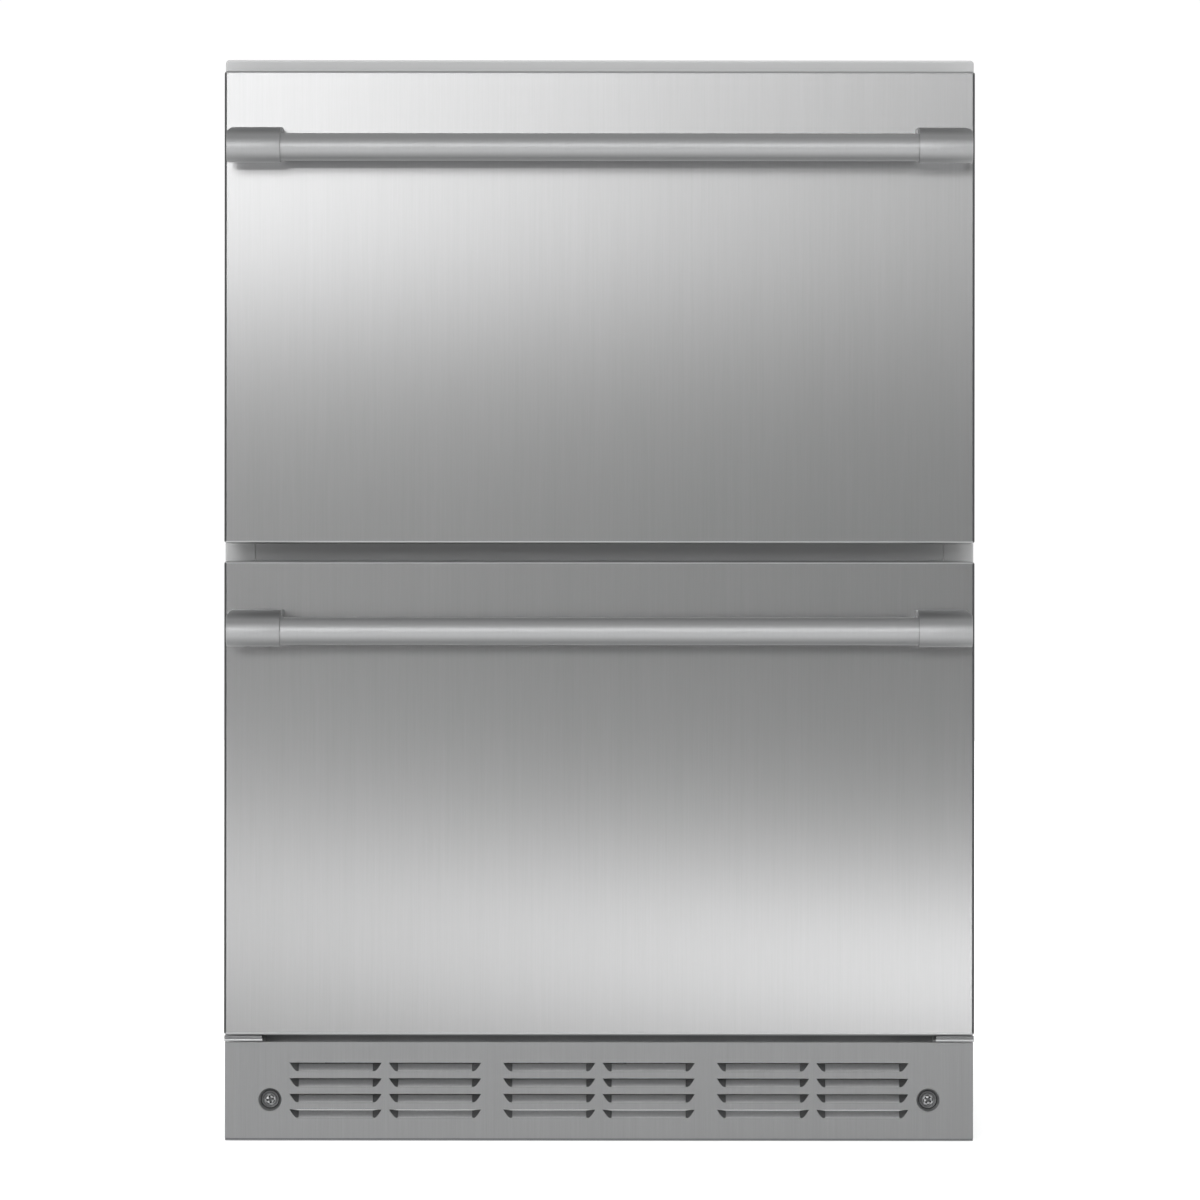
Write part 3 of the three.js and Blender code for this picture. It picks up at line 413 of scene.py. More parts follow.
def prism(name, profile, axis, a, b):
    """A closed profile pushed along an axis. x: (y, z); y: (x, z); z: (x, y)."""
    at = {
        "x": lambda p, t: (t, p[0], p[1]),
        "y": lambda p, t: (p[0], t, p[1]),
        "z": lambda p, t: (p[0], p[1], t),
    }[axis]
    return loft(name, [[at(p, a) for p in profile], [at(p, b) for p in profile]])


def slab(x0, x1, y0, y1, z0, z1):
    return prism("slab", [(x0, y0), (x1, y0), (x1, y1), (x0, y1)], "z", z0, z1)


def turned(name, profile, segments, axis, at):
    """(radius, height) points turned about an axis through at."""
    verts, faces = [], []
    put = {
        "x": lambda r, h, c, s: (at[0] + h, at[1] + r * c, at[2] + r * s),
        "y": lambda r, h, c, s: (at[0] + r * c, at[1] + h, at[2] + r * s),
        "z": lambda r, h, c, s: (at[0] + r * c, at[1] + r * s, at[2] + h),
    }[axis]
    n = len(profile)
    for i in range(segments):
        t = 2 * math.pi * i / segments
        for r, h in profile:
            verts.append(put(r, h, math.cos(t), math.sin(t)))
    for i in range(segments):
        j = (i + 1) % segments
        for k in range(n - 1):
            faces.append([i * n + k, i * n + k + 1, j * n + k + 1, j * n + k])
        if profile[0] == profile[-1]:
            continue
    if profile[0] != profile[-1]:
        for k in (0, n - 1):
            if profile[k][0] > 1e-9:
                faces.append([i * n + k for i in range(segments)])
    me = bpy.data.meshes.new(name)
    me.from_pydata([place(*v) for v in verts], [], faces)
    bm = bmesh.new()
    bm.from_mesh(me)
    bmesh.ops.remove_doubles(bm, verts=bm.verts, dist=1e-7)
    bmesh.ops.dissolve_degenerate(bm, edges=bm.edges, dist=1e-7)
    bmesh.ops.recalc_face_normals(bm, faces=bm.faces)
    bm.to_mesh(me)
    bm.free()
    return me


def pipe(name, points, radius, bend=6.0, sides=4):
    """A round pipe through points, its corners bent with a radius."""
    pts = [Vector(p) for p in points]
    path = [pts[0]]
    for a, b, c in zip(pts, pts[1:], pts[2:]):
        u, v = (a - b), (c - b)
        reach = min(bend, u.length * 0.49, v.length * 0.49)
        p, q = b + u.normalized() * reach, b + v.normalized() * reach
        for k in range(7):
            t = k / 6
            path.append(p * (1 - t) ** 2 + b * 2 * t * (1 - t) + q * t ** 2)
    path.append(pts[-1])
    cu = bpy.data.curves.new(name, "CURVE")
    cu.dimensions = "3D"
    sp = cu.splines.new("POLY")
    sp.points.add(len(path) - 1)
    for k, p in enumerate(path):
        sp.points[k].co = (*place(*p), 1)
    cu.bevel_depth, cu.bevel_resolution, cu.use_fill_caps = radius / 1000.0, sides, True
    ob = bpy.data.objects.new(name, cu)
    scene.collection.objects.link(ob)
    dg = bpy.context.evaluated_depsgraph_get()
    me = bpy.data.meshes.new_from_object(ob.evaluated_get(dg))
    bpy.data.objects.remove(ob)
    bpy.data.curves.remove(cu)
    return me


# ------------------------------------------------------------------ drawer fronts
def front_skin(name, d):
    z0, z1 = d["z0"], d["z0"] + d["h"]

    def loop(inset, y, r):
        return rect_loop(-HALF + inset, HALF - inset, z0 + inset, z1 - inset, r, y, 5)

    crease = math.radians(7)
    first = EDGE * (1 - math.sin(crease))
    loops = [loop(first + 1.2, 0, 0.6), loop(first, 0, 0.8)]
    for k in range(1, 9):
        t = crease + (math.pi / 2 - crease) * k / 8
        i = EDGE * (1 - math.sin(t))
        loops.append(loop(i, EDGE * (math.cos(crease) - math.cos(t)), max(0.8, 2.6 - i)))
    loops.append(loop(0, RETURN - 0.3, 2.6))
    loops.append(loop(0.1, RETURN - 0.08, 2.5))
    loops.append(loop(0.3, RETURN, 2.3))
    loops.append(loop(0.8, RETURN, 1.8))
    loops.append(loop(1.0, RETURN - 0.2, 1.6))
    loops.append(loop(1.0, EDGE + 0.6, 1.6))
    for k in range(1, 5):
        t = math.radians(90 * k / 4)
        loops.append(loop(1.0 + 1.0 * (1 - math.cos(t)), EDGE + 0.6 - 1.2 * math.sin(t), 1.4))
    me = loft(name, loops)
    ob = link(name + "_front_shell", me, FRONT_STEEL, name + "_drawer", (name + "_front_skin",), 32)
    # the brushing runs across the flat face only: the fold keeps the mill finish, and the fold's left and right sides
    # carry painted shade
    me.materials.append(FOLD_STEEL)
    me.materials.append(EDGE_PAINTED_SHADE)
    flat = [abs(v.co.y - SHIFT / 1000.0) < 2e-6 for v in me.vertices]
    for p in me.polygons:
        y = p.center.y * 1000.0 - SHIFT
        if 0.02 < y < EDGE and not all(flat[i] for i in p.vertices):
            p.material_index = 2 if abs(p.normal.x) > abs(p.normal.z) * 1.2 + 0.05 else 1
    inner = HALF / 1000.0 - (first + 0.5) / 1000.0
    for e in me.edges:
        a, b = e.vertices
        if flat[a] and flat[b]:
            mid = (me.vertices[a].co + me.vertices[b].co) / 2
            if abs(mid.x) > inner or mid.z * 1000 > z1 - first - 0.5 or mid.z * 1000 < z0 + first + 0.5:
                e.use_edge_sharp = True
    return ob


for key, d in DRAWERS.items():
    front_skin(key, d)


# ------------------------------------------------------------------ handles
def bracket_profile():
    def at(deg):
        t = math.radians(deg)
        return (-BAR_OUT - SLEEVE_R * math.cos(t), SLEEVE_R * math.sin(t))

    def bezier(p0, p1, p2, p3, n):
        out = []
        for k in range(1, n + 1):
            t = k / n
            out.append(tuple(
                (1 - t) ** 3 * a + 3 * t * (1 - t) ** 2 * b + 3 * t * t * (1 - t) * c + t ** 3 * e
                for a, b, c, e in zip(p0, p1, p2, p3)
            ))
        return out

    pts = [(-0.3, -8.2), (-0.3, ARM_TOP), (-26.0, ARM_TOP)]
    pts += bezier((-26.0, ARM_TOP), (-38.0, ARM_TOP), (-51.2, 14.0), at(30), 10)
    pts += [at(a) for a in range(25, -91, -5)]
    pts += bezier(at(-90), (-33, -12.4), (-30, -7), (-22, -7), 8)
    pts += bezier((-22, -7), (-12, -7), (-6, -7.2), (-0.3, -8.2), 5)
    return pts[:-1]


def bracket(name, side, s, d):
    z = d["handle"]
    outer, inner = s * BRACKET_END, s * (BRACKET_END - SLEEVE_L)
    root = inner - s * 0.8
    body = prism("body", [(y, z + q) for y, q in bracket_profile()], "x", outer, root)
    chamfer = prism("chamfer", [(outer + s * 1.0, z + 11.4), (outer - s * 4.5, z + 18.0), (outer + s * 1.0, z + 18.0)],
                    "y", -90, 5)
    ends = sorted((inner, root - s * 2))
    step = slab(ends[0], ends[1], -90, -27.0, z - 30, z + 30)
    deep = sorted((inner + s * 22.5, root - s * 3))
    bore = turned("bore", [(0, deep[0]), (BAR_R + 0.25, deep[0]), (BAR_R + 0.25, deep[1]), (0, deep[1])], 72, "x",
                  (0, -BAR_OUT, z))
    me = finished(body, 0.3, 3, 40, (chamfer, step, bore))
    ob = link(f"{name}_handle_bracket_{side}_cast", me, BRACKET_STEEL,
              name + "_drawer", (f"{name}_handle_bracket_{side}",), 38)
    me.materials.append(PAINTED_SHADE_STEEL)
    # painted shade: the inner end faces take the dark painted-shade steel
    for p in me.polygons:
        if p.normal.x * s < -0.7:
            p.material_index = 1
    return ob


for key, d in DRAWERS.items():
    half = BRACKET_END - SLEEVE_L + 22.0
    bar = turned("bar", [(0, -half), (BAR_R - 0.6, -half), (BAR_R, -half + 0.6), (BAR_R, half - 0.6),
                         (BAR_R - 0.6, half), (0, half)], 96, "x", (0, -BAR_OUT, d["handle"]))
    link(key + "_handle_tube", bar, HANDLE_STEEL, key + "_drawer", (key + "_handle_bar",), 30)
    for side, s in (("left", -1), ("right", 1)):
        bracket(key, side, s, d)


# ------------------------------------------------------------------ kick plate
def sheet_with_holes(name, outer, holes, y_front, thickness, edge=0.12):
    """A flat sheet across the front, with holes, its cut edges slightly rounded."""
    cu = bpy.data.curves.new(name, "CURVE")
    cu.dimensions, cu.fill_mode = "2D", "BOTH"
    for pts in [outer, *holes]:
        sp = cu.splines.new("POLY")
        sp.points.add(len(pts) - 1)
        for k, (x, z) in enumerate(pts):
            sp.points[k].co = (x / 1000.0, z / 1000.0, 0, 1)
        sp.use_cyclic_u = True
    cu.offset = -edge / 1000.0
    cu.bevel_depth, cu.bevel_resolution = edge / 1000.0, 0
    cu.extrude = (thickness / 2 - edge) / 1000.0
    ob = bpy.data.objects.new(name, cu)
    scene.collection.objects.link(ob)
    dg = bpy.context.evaluated_depsgraph_get()
    me = bpy.data.meshes.new_from_object(ob.evaluated_get(dg))
    bpy.data.objects.remove(ob)
    me.transform(Matrix.Translation((0, (y_front + thickness / 2 + SHIFT) / 1000.0, 0)) @ Matrix.Rotation(math.radians(90), 4, "X"))
    bm = bmesh.new()
    bm.from_mesh(me)
    bmesh.ops.remove_doubles(bm, verts=bm.verts, dist=2e-6)
    bmesh.ops.recalc_face_normals(bm, faces=bm.faces)
    bm.to_mesh(me)
    bm.free()
    return me


def quadratic(a, b, c, n):
    return [
        tuple((1 - t) ** 2 * p + 2 * t * (1 - t) * q + t * t * r for p, q, r in zip(a, b, c))
        for t in (k / n for k in range(1, n + 1))
    ]


def kick_plate():
    holes, pieces, blades, ends = [], [], [], []
    for pair in (-PAIR_PITCH, 0, PAIR_PITCH):
        for side in (-1, 1):
            for row in range(4):
                cx = pair + side * LOUVRE_PAIR
                zt = LOUVRE_TOP - row * LOUVRE_PITCH
                zb = zt - LOUVRE_H
                a, b = LOUVRE_HALF, LOUVRE_HALF - LOUVRE_TAPER
                left = quadratic((cx - a, zt), (cx - a + 3.9, zb), (cx - b, zb), 9)
                right = quadratic((cx + b, zb), (cx + a - 3.9, zb), (cx + a, zt), 9)
                holes.append([(cx - a, zt), *left, (cx + b, zb), *right])
                # blade: folds in about the lower edge and leans up behind the opening
                y0, t = KICK_Y, 1.0
                spine = [(y0 + 0.55, zb - 0.9), (y0 + 0.75, zb - 0.1), (y0 + 1.35, zb + 0.75),
                         (y0 + 2.5, zb + 1.9), (y0 + 4.3, zb + 3.6), (y0 + 6.0, zb + 5.3)]
                ring = []
                for k, (y, z) in enumerate(spine):
                    if k == 0:
                        dy, dz = 0.1, 1.0
                    elif k == len(spine) - 1:
                        dy, dz = 1.0, 1.0
                    else:
                        dy, dz = spine[k + 1][0] - spine[k - 1][0], spine[k + 1][1] - spine[k - 1][1]
                    ln = math.hypot(dy, dz)
                    ring.append(((y, z), (-dz / ln, dy / ln)))
                front = [(p[0] + n[0] * t / 2, p[1] + n[1] * t / 2) for p, n in ring]
                back = [(p[0] - n[0] * t / 2, p[1] - n[1] * t / 2) for p, n in ring][::-1]
                tip = ring[-1][0]
                prof = front + [(tip[0] + 0.36, tip[1] + 0.36)] + back
                blade = prism("blade", prof, "x", cx - b + 1.2, cx + b - 1.2)
                blades.append(blade)
                # drawn ends: the metal stretched between the opening's slanted end and the blade
                for s, edge in ((-1, [(cx - a, zt), *left]), (1, [(cx + a, zt), *reversed(right[:-1]), (cx + b, zb)])):
                    m = len(edge) - 1
                    rows = []
                    for k, (ex, ez) in enumerate(edge):
                        u = 1 - k / m
                        bx = cx + s * (b - 1.4)
                        by, bz = y0 + 1.9 + 5.0 * u, zb + 0.2 + 5.3 * u
                        rows.append([(ex + s * 0.25, y0 + 1.15, ez), ((ex + bx) / 2, (y0 + 1.15 + by) / 2 + 1.2 * u, (ez + bz) / 2), (bx, by, bz),
                                     (bx, by + 0.5, bz), ((ex + bx) / 2, (y0 + 1.15 + by) / 2 + 1.2 * u + 0.5, (ez + bz) / 2), (ex + s * 0.25, y0 + 1.65, ez)])
                    ends.append(loft("end", rows))
    cup_r = 9.3
    for s in (-1, 1):
        holes.append([(s * SCREW_X + cup_r * math.cos(math.radians(k * 7.5)),
                       SCREW_Z + cup_r * math.sin(math.radians(k * 7.5))) for k in range(48)])
    w = HALF - 0.3
    sheet = sheet_with_holes("kick_sheet", [(-w, KICK_Z0), (w, KICK_Z0), (w, KICK_Z1), (-w, KICK_Z1)], holes, KICK_Y, KICK_T)
    # pressed cups for the screw heads
    cups = []
    for s in (-1, 1):
        cups.append(turned("cup", [
            (2.8, 5.0), (6.2, 5.0), (6.9, 4.7), (7.4, 3.9), (8.8, 0.9), (9.0, 0.45), (9.25, 0.2), (9.4, 0.3), (9.4, 1.2),
            (9.2, 1.7), (8.1, 4.4), (7.7, 5.5), (6.8, 6.0), (2.8, 6.0), (2.8, 5.0),
        ], 64, "y", (s * SCREW_X, KICK_Y, SCREW_Z)))
    # side returns
    back = 45.0 - 0.3
    for s in (-1, 1):
        x1, x0 = s * w, s * (w - KICK_T)
        pieces.append(slab(min(x0, x1), max(x0, x1), KICK_Y + KICK_T - 0.05, back, KICK_Z0, KICK_Z1 - 17.0))
    me = joined("cups", cups)
    link("kick_plate_cups", me, CUP_STEEL, "cabinet", ("kick_plate",), 30)
    # painted shade: the floor of each cup, round the screw, is darkened
    me.materials.append(CUP_FLOOR_PAINTED_SHADE)
    for p in me.polygons:
        if math.hypot(abs(p.center.x * 1000.0) - SCREW_X, p.center.z * 1000.0 - SCREW_Z) < 7.3:
            p.material_index = 1
    # painted shade: the louvre end walls are darkened
    link("kick_plate_louvre_ends", joined("ends", ends), PAINTED_SHADE_STEEL, "cabinet", ("kick_plate",), 40)
    me = joined("kick", [sheet, *[finished(p, 0.18, 2, 45) for p in pieces]])
    link("kick_plate_pressed", me, KICK_STEEL, "cabinet", ("kick_plate",), 30)
    # painted shadow: a black rubber strip behind the kick plate's bottom edge stands in for the dark shadow line under
    # it
    shadow_line = finished(prism("shadow_line", [(KICK_Y + 0.3, 0.15), (KICK_Y + 1.6, 0.15), (KICK_Y + 1.6, 1.9), (KICK_Y + 0.3, 1.9)], "x", -w + 0.2, w - 0.2), 0.2, 2, 45)
    link("kick_plate_shadow_strip", shadow_line, RUBBER, "cabinet", (), 40)
    # the blades carry painted light: a lighter steel than the kick sheet
    link("kick_plate_blades", joined("blades", [finished(b, 0.15, 1, 45) for b in blades]), BLADE_PAINTED_LIGHT_STEEL, "cabinet",
         ("kick_plate",), 34)


kick_plate()


def kick_screw(side, s):
    y = KICK_Y + 5 - 0.3 - 2.4
    head = turned("head", [(0, 0.0), (1.6, 0.06), (3.0, 0.3), (4.2, 0.8), (5.0, 1.5), (5.3, 2.1), (5.25, 2.4), (2.2, 2.4),
                           (2.2, 15), (0, 17)], 56, "y", (s * SCREW_X, y, SCREW_Z))
    cutters = []
    for turn in (0, 90):
        c = mesh("slot", [
            *[(sx * 3.7, -0.6, sz * 1.05) for sx, sz in ((-1, -1), (1, -1), (1, 1), (-1, 1))],
            *[(sx * 2.0, 2.1, sz * 0.6) for sx, sz in ((-1, -1), (1, -1), (1, 1), (-1, 1))],
        ], [[0, 1, 2, 3], [4, 5, 6, 7], [0, 1, 5, 4], [1, 2, 6, 5], [2, 3, 7, 6], [3, 0, 4, 7]], mm=False)
        c.transform(Matrix.Translation(place(s * SCREW_X, y, SCREW_Z)) @ Matrix.Rotation(math.radians(turn + 24 * s + 12), 4, "Y") @ Matrix.Scale(0.001, 4))
        bm = bmesh.new(); bm.from_mesh(c); bmesh.ops.recalc_face_normals(bm, faces=bm.faces); bm.to_mesh(c); bm.free()
        cutters.append(c)
    me = finished(head, 0, 1, 35, cutters)
    link(f"kick_screw_{side}_pan_head", me, SCREW_STEEL, "cabinet", ("kick_screw_" + side,), 40)
    # painted shade: the cross recess takes the dark steel
    me.materials.append(EDGE_PAINTED_SHADE)
    for p in me.polygons:
        deep = p.center.y * 1000.0 - SHIFT - y
        if 0.55 < deep < 2.35 and math.hypot(p.center.x * 1000.0 - s * SCREW_X, p.center.z * 1000.0 - SCREW_Z) < 3.6:
            p.material_index = 1


for side, s in (("left", -1), ("right", 1)):
    kick_screw(side, s)


def corner_plate(side, s):
    """The folded plate under the lower drawer front, its front edge rolled."""
    ends = [v * 1000.0 for v in (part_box("corner_bracket_" + side)[0][0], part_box("corner_bracket_" + side)[1][0])]
    x0, x1 = min(map(abs, ends)), max(map(abs, ends))
    back = 44.7
    prof = [(0.9, 80.6), (back - 2.6, 80.6), (back - 2.2, 80.2), (back - 2.2, 64.5), (back, 64.5), (back, 82.2), (back - 0.6, 82.8), (0.9, 82.8)]
    for k in range(1, 8):
        t = math.radians(90 + 180 * k / 8)
        prof.append((0.9 + 0.75 * math.cos(t), 81.7 + 1.1 * math.sin(t)))
    me = finished(prism("plate", prof, "x", s * x0, s * x1), 0.15, 1, 60)
    link(f"corner_plate_{side}_folded", me, FOLD_STEEL, "cabinet", ("corner_bracket_" + side,), 40)
    # painted shade: the lip takes the dark painted-shade steel
    lip = finished(prism("lip", [(3.0, 82.75), (3.0, 84.7), (3.3, 85.0), (4.4, 85.0), (4.4, 82.75)], "x", s * (x0 + 0.6), s * x1), 0.1, 1, 60)
    link(f"corner_plate_{side}_lip", lip, PAINTED_SHADE_STEEL, "cabinet", ("corner_bracket_" + side,), 40)


for side, s in (("left", -1), ("right", 1)):
    corner_plate(side, s)


# ------------------------------------------------------------------ cabinet
FACE, BACK_OUT, TOP, SIDE, SHELL_Z0 = 45.0, 602.5, 873.0, 303.2, 24.0


def strip(name, loops, closed=True):
    """Open polylines of equal length joined in turn, with flat ends."""
    n = len(loops[0])
    verts = [v for lp in loops for v in lp]
    faces = []
    count = len(loops) if closed else len(loops) - 1
    for i in range(count):
        a, b = i * n, ((i + 1) % len(loops)) * n
        for k in range(n - 1):
            faces.append([a + k, a + k + 1, b + k + 1, b + k])
    if closed:
        faces.append([i * n for i in range(len(loops))])
        faces.append([i * n + n - 1 for i in range(len(loops))])
    return mesh(name, verts, faces)


def arch(ix, iz, y, r):
    """The wrapper's outline at depth y: up the left side, over the top and down the right."""
    x, z = SIDE - ix, TOP - iz
    pts = [(-x, y, SHELL_Z0)]
    for k in range(9):
        t = math.radians(180 - 90 * k / 8)
        pts.append((-x + r + r * math.cos(t), y, z - r + r * math.sin(t)))
    for k in range(9):
        t = math.radians(90 - 90 * k / 8)
        pts.append((x - r + r * math.cos(t), y, z - r + r * math.sin(t)))
    pts.append((x, y, SHELL_Z0))
    return pts


def wrapper():
    fold = 1.8
    loops = [arch(24.3, 35, FACE, 0.4), arch(fold + 0.8, fold + 0.8, FACE, 1.0), arch(fold, fold, FACE, 1.4)]
    for k in range(1, 8):
        t = math.radians(90 * k / 8)
        i = fold * (1 - math.sin(t))
        loops.append(arch(i, i, FACE + fold * (1 - math.cos(t)), 3.0 - 0.8 * i))
    loops += [arch(0, 0, FACE + fold, 3), arch(0, 0, FACE + fold + 1, 3), arch(0, 0, BACK_OUT - 0.2, 3),
              arch(0.2, 0.2, BACK_OUT, 2.8), arch(1, 1, BACK_OUT, 2), arch(1, 1, FACE + 2.4, 2),
              arch(1.6, 1.6, FACE + 1.3, 1.6), arch(2.4, 2.4, FACE + 1, 1.4), arch(24.3, 35, FACE + 1, 0.4)]
    link("cabinet_wrapper", strip("wrapper", loops), SHELL_PAINT, "cabinet", ("cabinet_shell",), 30)


wrapper()


def pan_head(x, y, z, radius=3.6, rise=0.62, axis="y", s=1):
    """A low screw head on a sheet, with a cross recess. y is the sheet's outer face."""
    prof = [(0, rise), (radius * 0.55, rise * 0.96), (radius * 0.86, rise * 0.66), (radius, rise * 0.1), (radius, -0.05), (0, -0.05)]
    head = turned("head", [(r, s * h) for r, h in prof], 28, axis, (x, y, z))
    cut = []
    for a in (20, 110):
        c = slab(-radius * 0.62, radius * 0.62, -0.5, 0.5, -0.24, 0.24)
        c.transform(Matrix.Translation((0, -SHIFT / 1000.0, 0)))
        c.transform(Matrix.Translation(place(x, y + s * (rise + 0.1), z)) @ Matrix.Rotation(math.radians(a + x), 4, "Y"))
        cut.append(c)
    return finished(head, 0, 1, 35, cut)


def rear_sheet():
    y0, y1 = 602.8, 603.8
    x, z0, z1 = SIDE - 0.2, 305.0, 872.5
    beads = [(426, 230), (726, 230)]

    def lift(px, pz):
        h = 0.0
        for bz, bx in beads:
            d = math.hypot(max(0.0, abs(px) - (bx - 6)), pz - bz)
            h = max(h, max(0.0, min(1.0, (6.0 - d) / 2.4)))
        h = h * h * (3 - 2 * h)
        return h * 0.7

    xs = [-x, -x + 0.6, *[-244 + 1.0 * k for k in range(0, 25)], *[-200 + 40 * k for k in range(0, 11)],
          *[220 + 1.0 * k for k in range(0, 25)], x - 0.6, x]
    zs = [z0, z0 + 0.6, 360]
    for bz, _ in beads:
        zs += [bz - 8 + 0.8 * k for k in range(21)]
        zs.append(bz + 100)
    zs += [z1 - 0.6, z1]
    zs = sorted(set(round(v, 3) for v in zs))
    verts, faces, n = [], [], len(zs)
    for px in xs:
        for pz in zs:
            edge = min(x - abs(px), pz - z0, z1 - pz)
            verts.append((px, y1 + lift(px, pz) - (0.25 if edge < 0.1 else 0.0), pz))
    for i in range(len(xs) - 1):
        for k in range(n - 1):
            faces.append([i * n + k, i * n + k + 1, (i + 1) * n + k + 1, (i + 1) * n + k])
    top = len(verts)
    rim = [i * n for i in range(len(xs))] + [(len(xs) - 1) * n + k for k in range(1, n)] + \
          [i * n + n - 1 for i in range(len(xs) - 2, -1, -1)] + [k for k in range(n - 2, 0, -1)]
    verts += [(verts[q][0], y0, verts[q][2]) for q in rim]
    m = len(rim)
    for k in range(m):
        q = (k + 1) % m
        faces.append([rim[k], rim[q], top + q, top + k])
    faces.append([top + k for k in range(m)][::-1])
    link("back_sheet_pressed", mesh("back", verts, faces), ZINC, "cabinet", ("back_panel",), 25)
    heads = []
    for px in (-292, -146, 0, 146, 292):
        heads.append(pan_head(px, y1, 862))
    for px in (-292, 292):
        for pz in (340, 520, 700):
            heads.append(pan_head(px, y1, pz))
    link("back_sheet_screws", joined("heads", heads), SCREW_STEEL, "cabinet", (), 35)


rear_sheet()


def capsule(cx, cz, w, h, steps=8):
    """A slot outline with round ends, w wide and h high."""
    r = min(w, h) / 2
    pts = []
    for sx, sz, start in ((1, 1, 0), (-1, 1, 90), (-1, -1, 180), (1, -1, 270)):
        ox, oz = cx + sx * (w / 2 - r), cz + sz * (h / 2 - r)
        for k in range(steps + 1):
            t = math.radians(start + 90 * k / steps)
            p = (ox + r * math.cos(t), oz + r * math.sin(t))
            if not pts or math.dist(p, pts[-1]) > 1e-4:
                pts.append(p)
    if math.dist(pts[0], pts[-1]) < 1e-4:
        pts.pop()
    return pts


def machine_cover():
    holes = [[(-262.4, 70.6), (-227.6, 70.6), (-227.6, 99.4), (-262.4, 99.4)]]
    for i in range(14):
        holes.append(capsule(-143 + i * 26 + 3, 190, 6, 80))
        if i % 2 == 0:
            holes.append(capsule(-143 + i * 26 + 17, 63, 34, 6))
    x = SIDE - 3
    me = sheet_with_holes("cover", [(-x, 26), (x, 26), (x, 304.5), (-x, 304.5)], holes, 602.8, 1.0, 0.2)
    link("machine_cover_punched", me, ZINC, "cabinet", ("machine_compartment_cover",), 30)
    heads = [pan_head(px, 603.8, pz) for px in (-291, 291) for pz in (40, 165, 293)]
    heads += [pan_head(px, 603.8, 293) for px in (-97, 97)]
    link("machine_cover_screws", joined("heads", heads), SCREW_STEEL, "cabinet", (), 35)


machine_cover()


# ------------------------------------------------------------------ liner
def liner():
    x, top, floor_z, hump, front_y, back, step = LINER_X, 830.0, 112.0, 318.0, 46.3, 552.0, 388.0
    loops = []

    def ring(ix, zlow, zhigh, y, r):
        loops.append(rect_loop(-x - ix, x + ix, zlow, zhigh, r, y, 6))

    fx, fz0, fz1 = SIDE - 1.8 - x, 81.0, 871.2
    ring(fx, fz0, fz1, front_y, 3)
    ring(4.0, floor_z - 4, top + 4, front_y, 16)
    for k in range(0, 7):
        t = math.radians(90 * k / 6)
        i = 3.0 * (1 - math.sin(t))
        ring(i, floor_z - i, top + i, front_y + 3.0 * (1 - math.cos(t)), 12 + i)
    ring(0, floor_z, top, 60, 12)
    ring(0, floor_z, top, step - 10, 12)
    for k in range(1, 7):
        t = math.radians(90 * k / 6)
        ring(0, floor_z + 10 * (1 - math.cos(t)), top, step - 10 + 10 * math.sin(t), 12)
    ring(0, hump - 10, top, step, 12)
    for k in range(1, 7):
        t = math.radians(90 * k / 6)
        ring(0, hump - 10 + 10 * math.sin(t), top, step + 10 * (1 - math.cos(t)), 12)
    ring(0, hump, top, back - 10, 12)
    for k in range(1, 7):
        t = math.radians(90 * k / 6)
        i = 10 * (1 - math.cos(t))
        ring(-i, hump + i, top - i, back - 10 + 10 * math.sin(t), max(2.0, 12 - i))
    me = loft("liner", loops, cap=(False, True))
    # face the food side, then give the sheet its thickness behind
    bm = bmesh.new()
    bm.from_mesh(me)
    bmesh.ops.recalc_face_normals(bm, faces=bm.faces)
    centre = Vector(place(0, 300, 500))
    f = max(bm.faces, key=lambda q: q.calc_area())
    if f.normal.dot(centre - f.calc_center_median()) < 0:
        bmesh.ops.reverse_faces(bm, faces=bm.faces)
    bm.to_mesh(me)
    bm.free()
    ob = link("inner_liner_formed", me, LINER, "cabinet", ("inner_liner",), 40)
    m = ob.modifiers.new("sheet", "SOLIDIFY")
    m.thickness, m.offset = 0.0017, -1.0


liner()


# ------------------------------------------------------------------ drawer gaskets
def gasket(name, d):
    g0, g1 = d["gasket"]
    prof = [(0.2, 36.3), (0.2, 37.9), (0.9, 38.5), (2.0, 38.5), (2.6, 39.0), (2.5, 40.0), (1.7, 40.8), (1.6, 41.6),
            (2.3, 42.4), (3.0, 42.9), (3.0, 44.2), (3.4, 44.65), (9.4, 44.65), (10.0, 44.2), (10.0, 42.9), (10.8, 42.3),
            (11.3, 41.5), (11.2, 40.6), (10.3, 39.8), (10.2, 39.0), (10.9, 38.5), (12.8, 38.5), (13.8, 37.9), (13.8, 36.3)]
    loops = [rect_loop(-297 + i, 297 - i, g0 + i, g1 - i, max(0.8, 6 - i * 0.4), y, 5) for i, y in prof]
    link(name + "_gasket_bellows", loft("gasket", loops, closed=True), RUBBER, name + "_drawer",
         (name + "_gasket",), 28)


for key, d in DRAWERS.items():
    gasket(key, d)


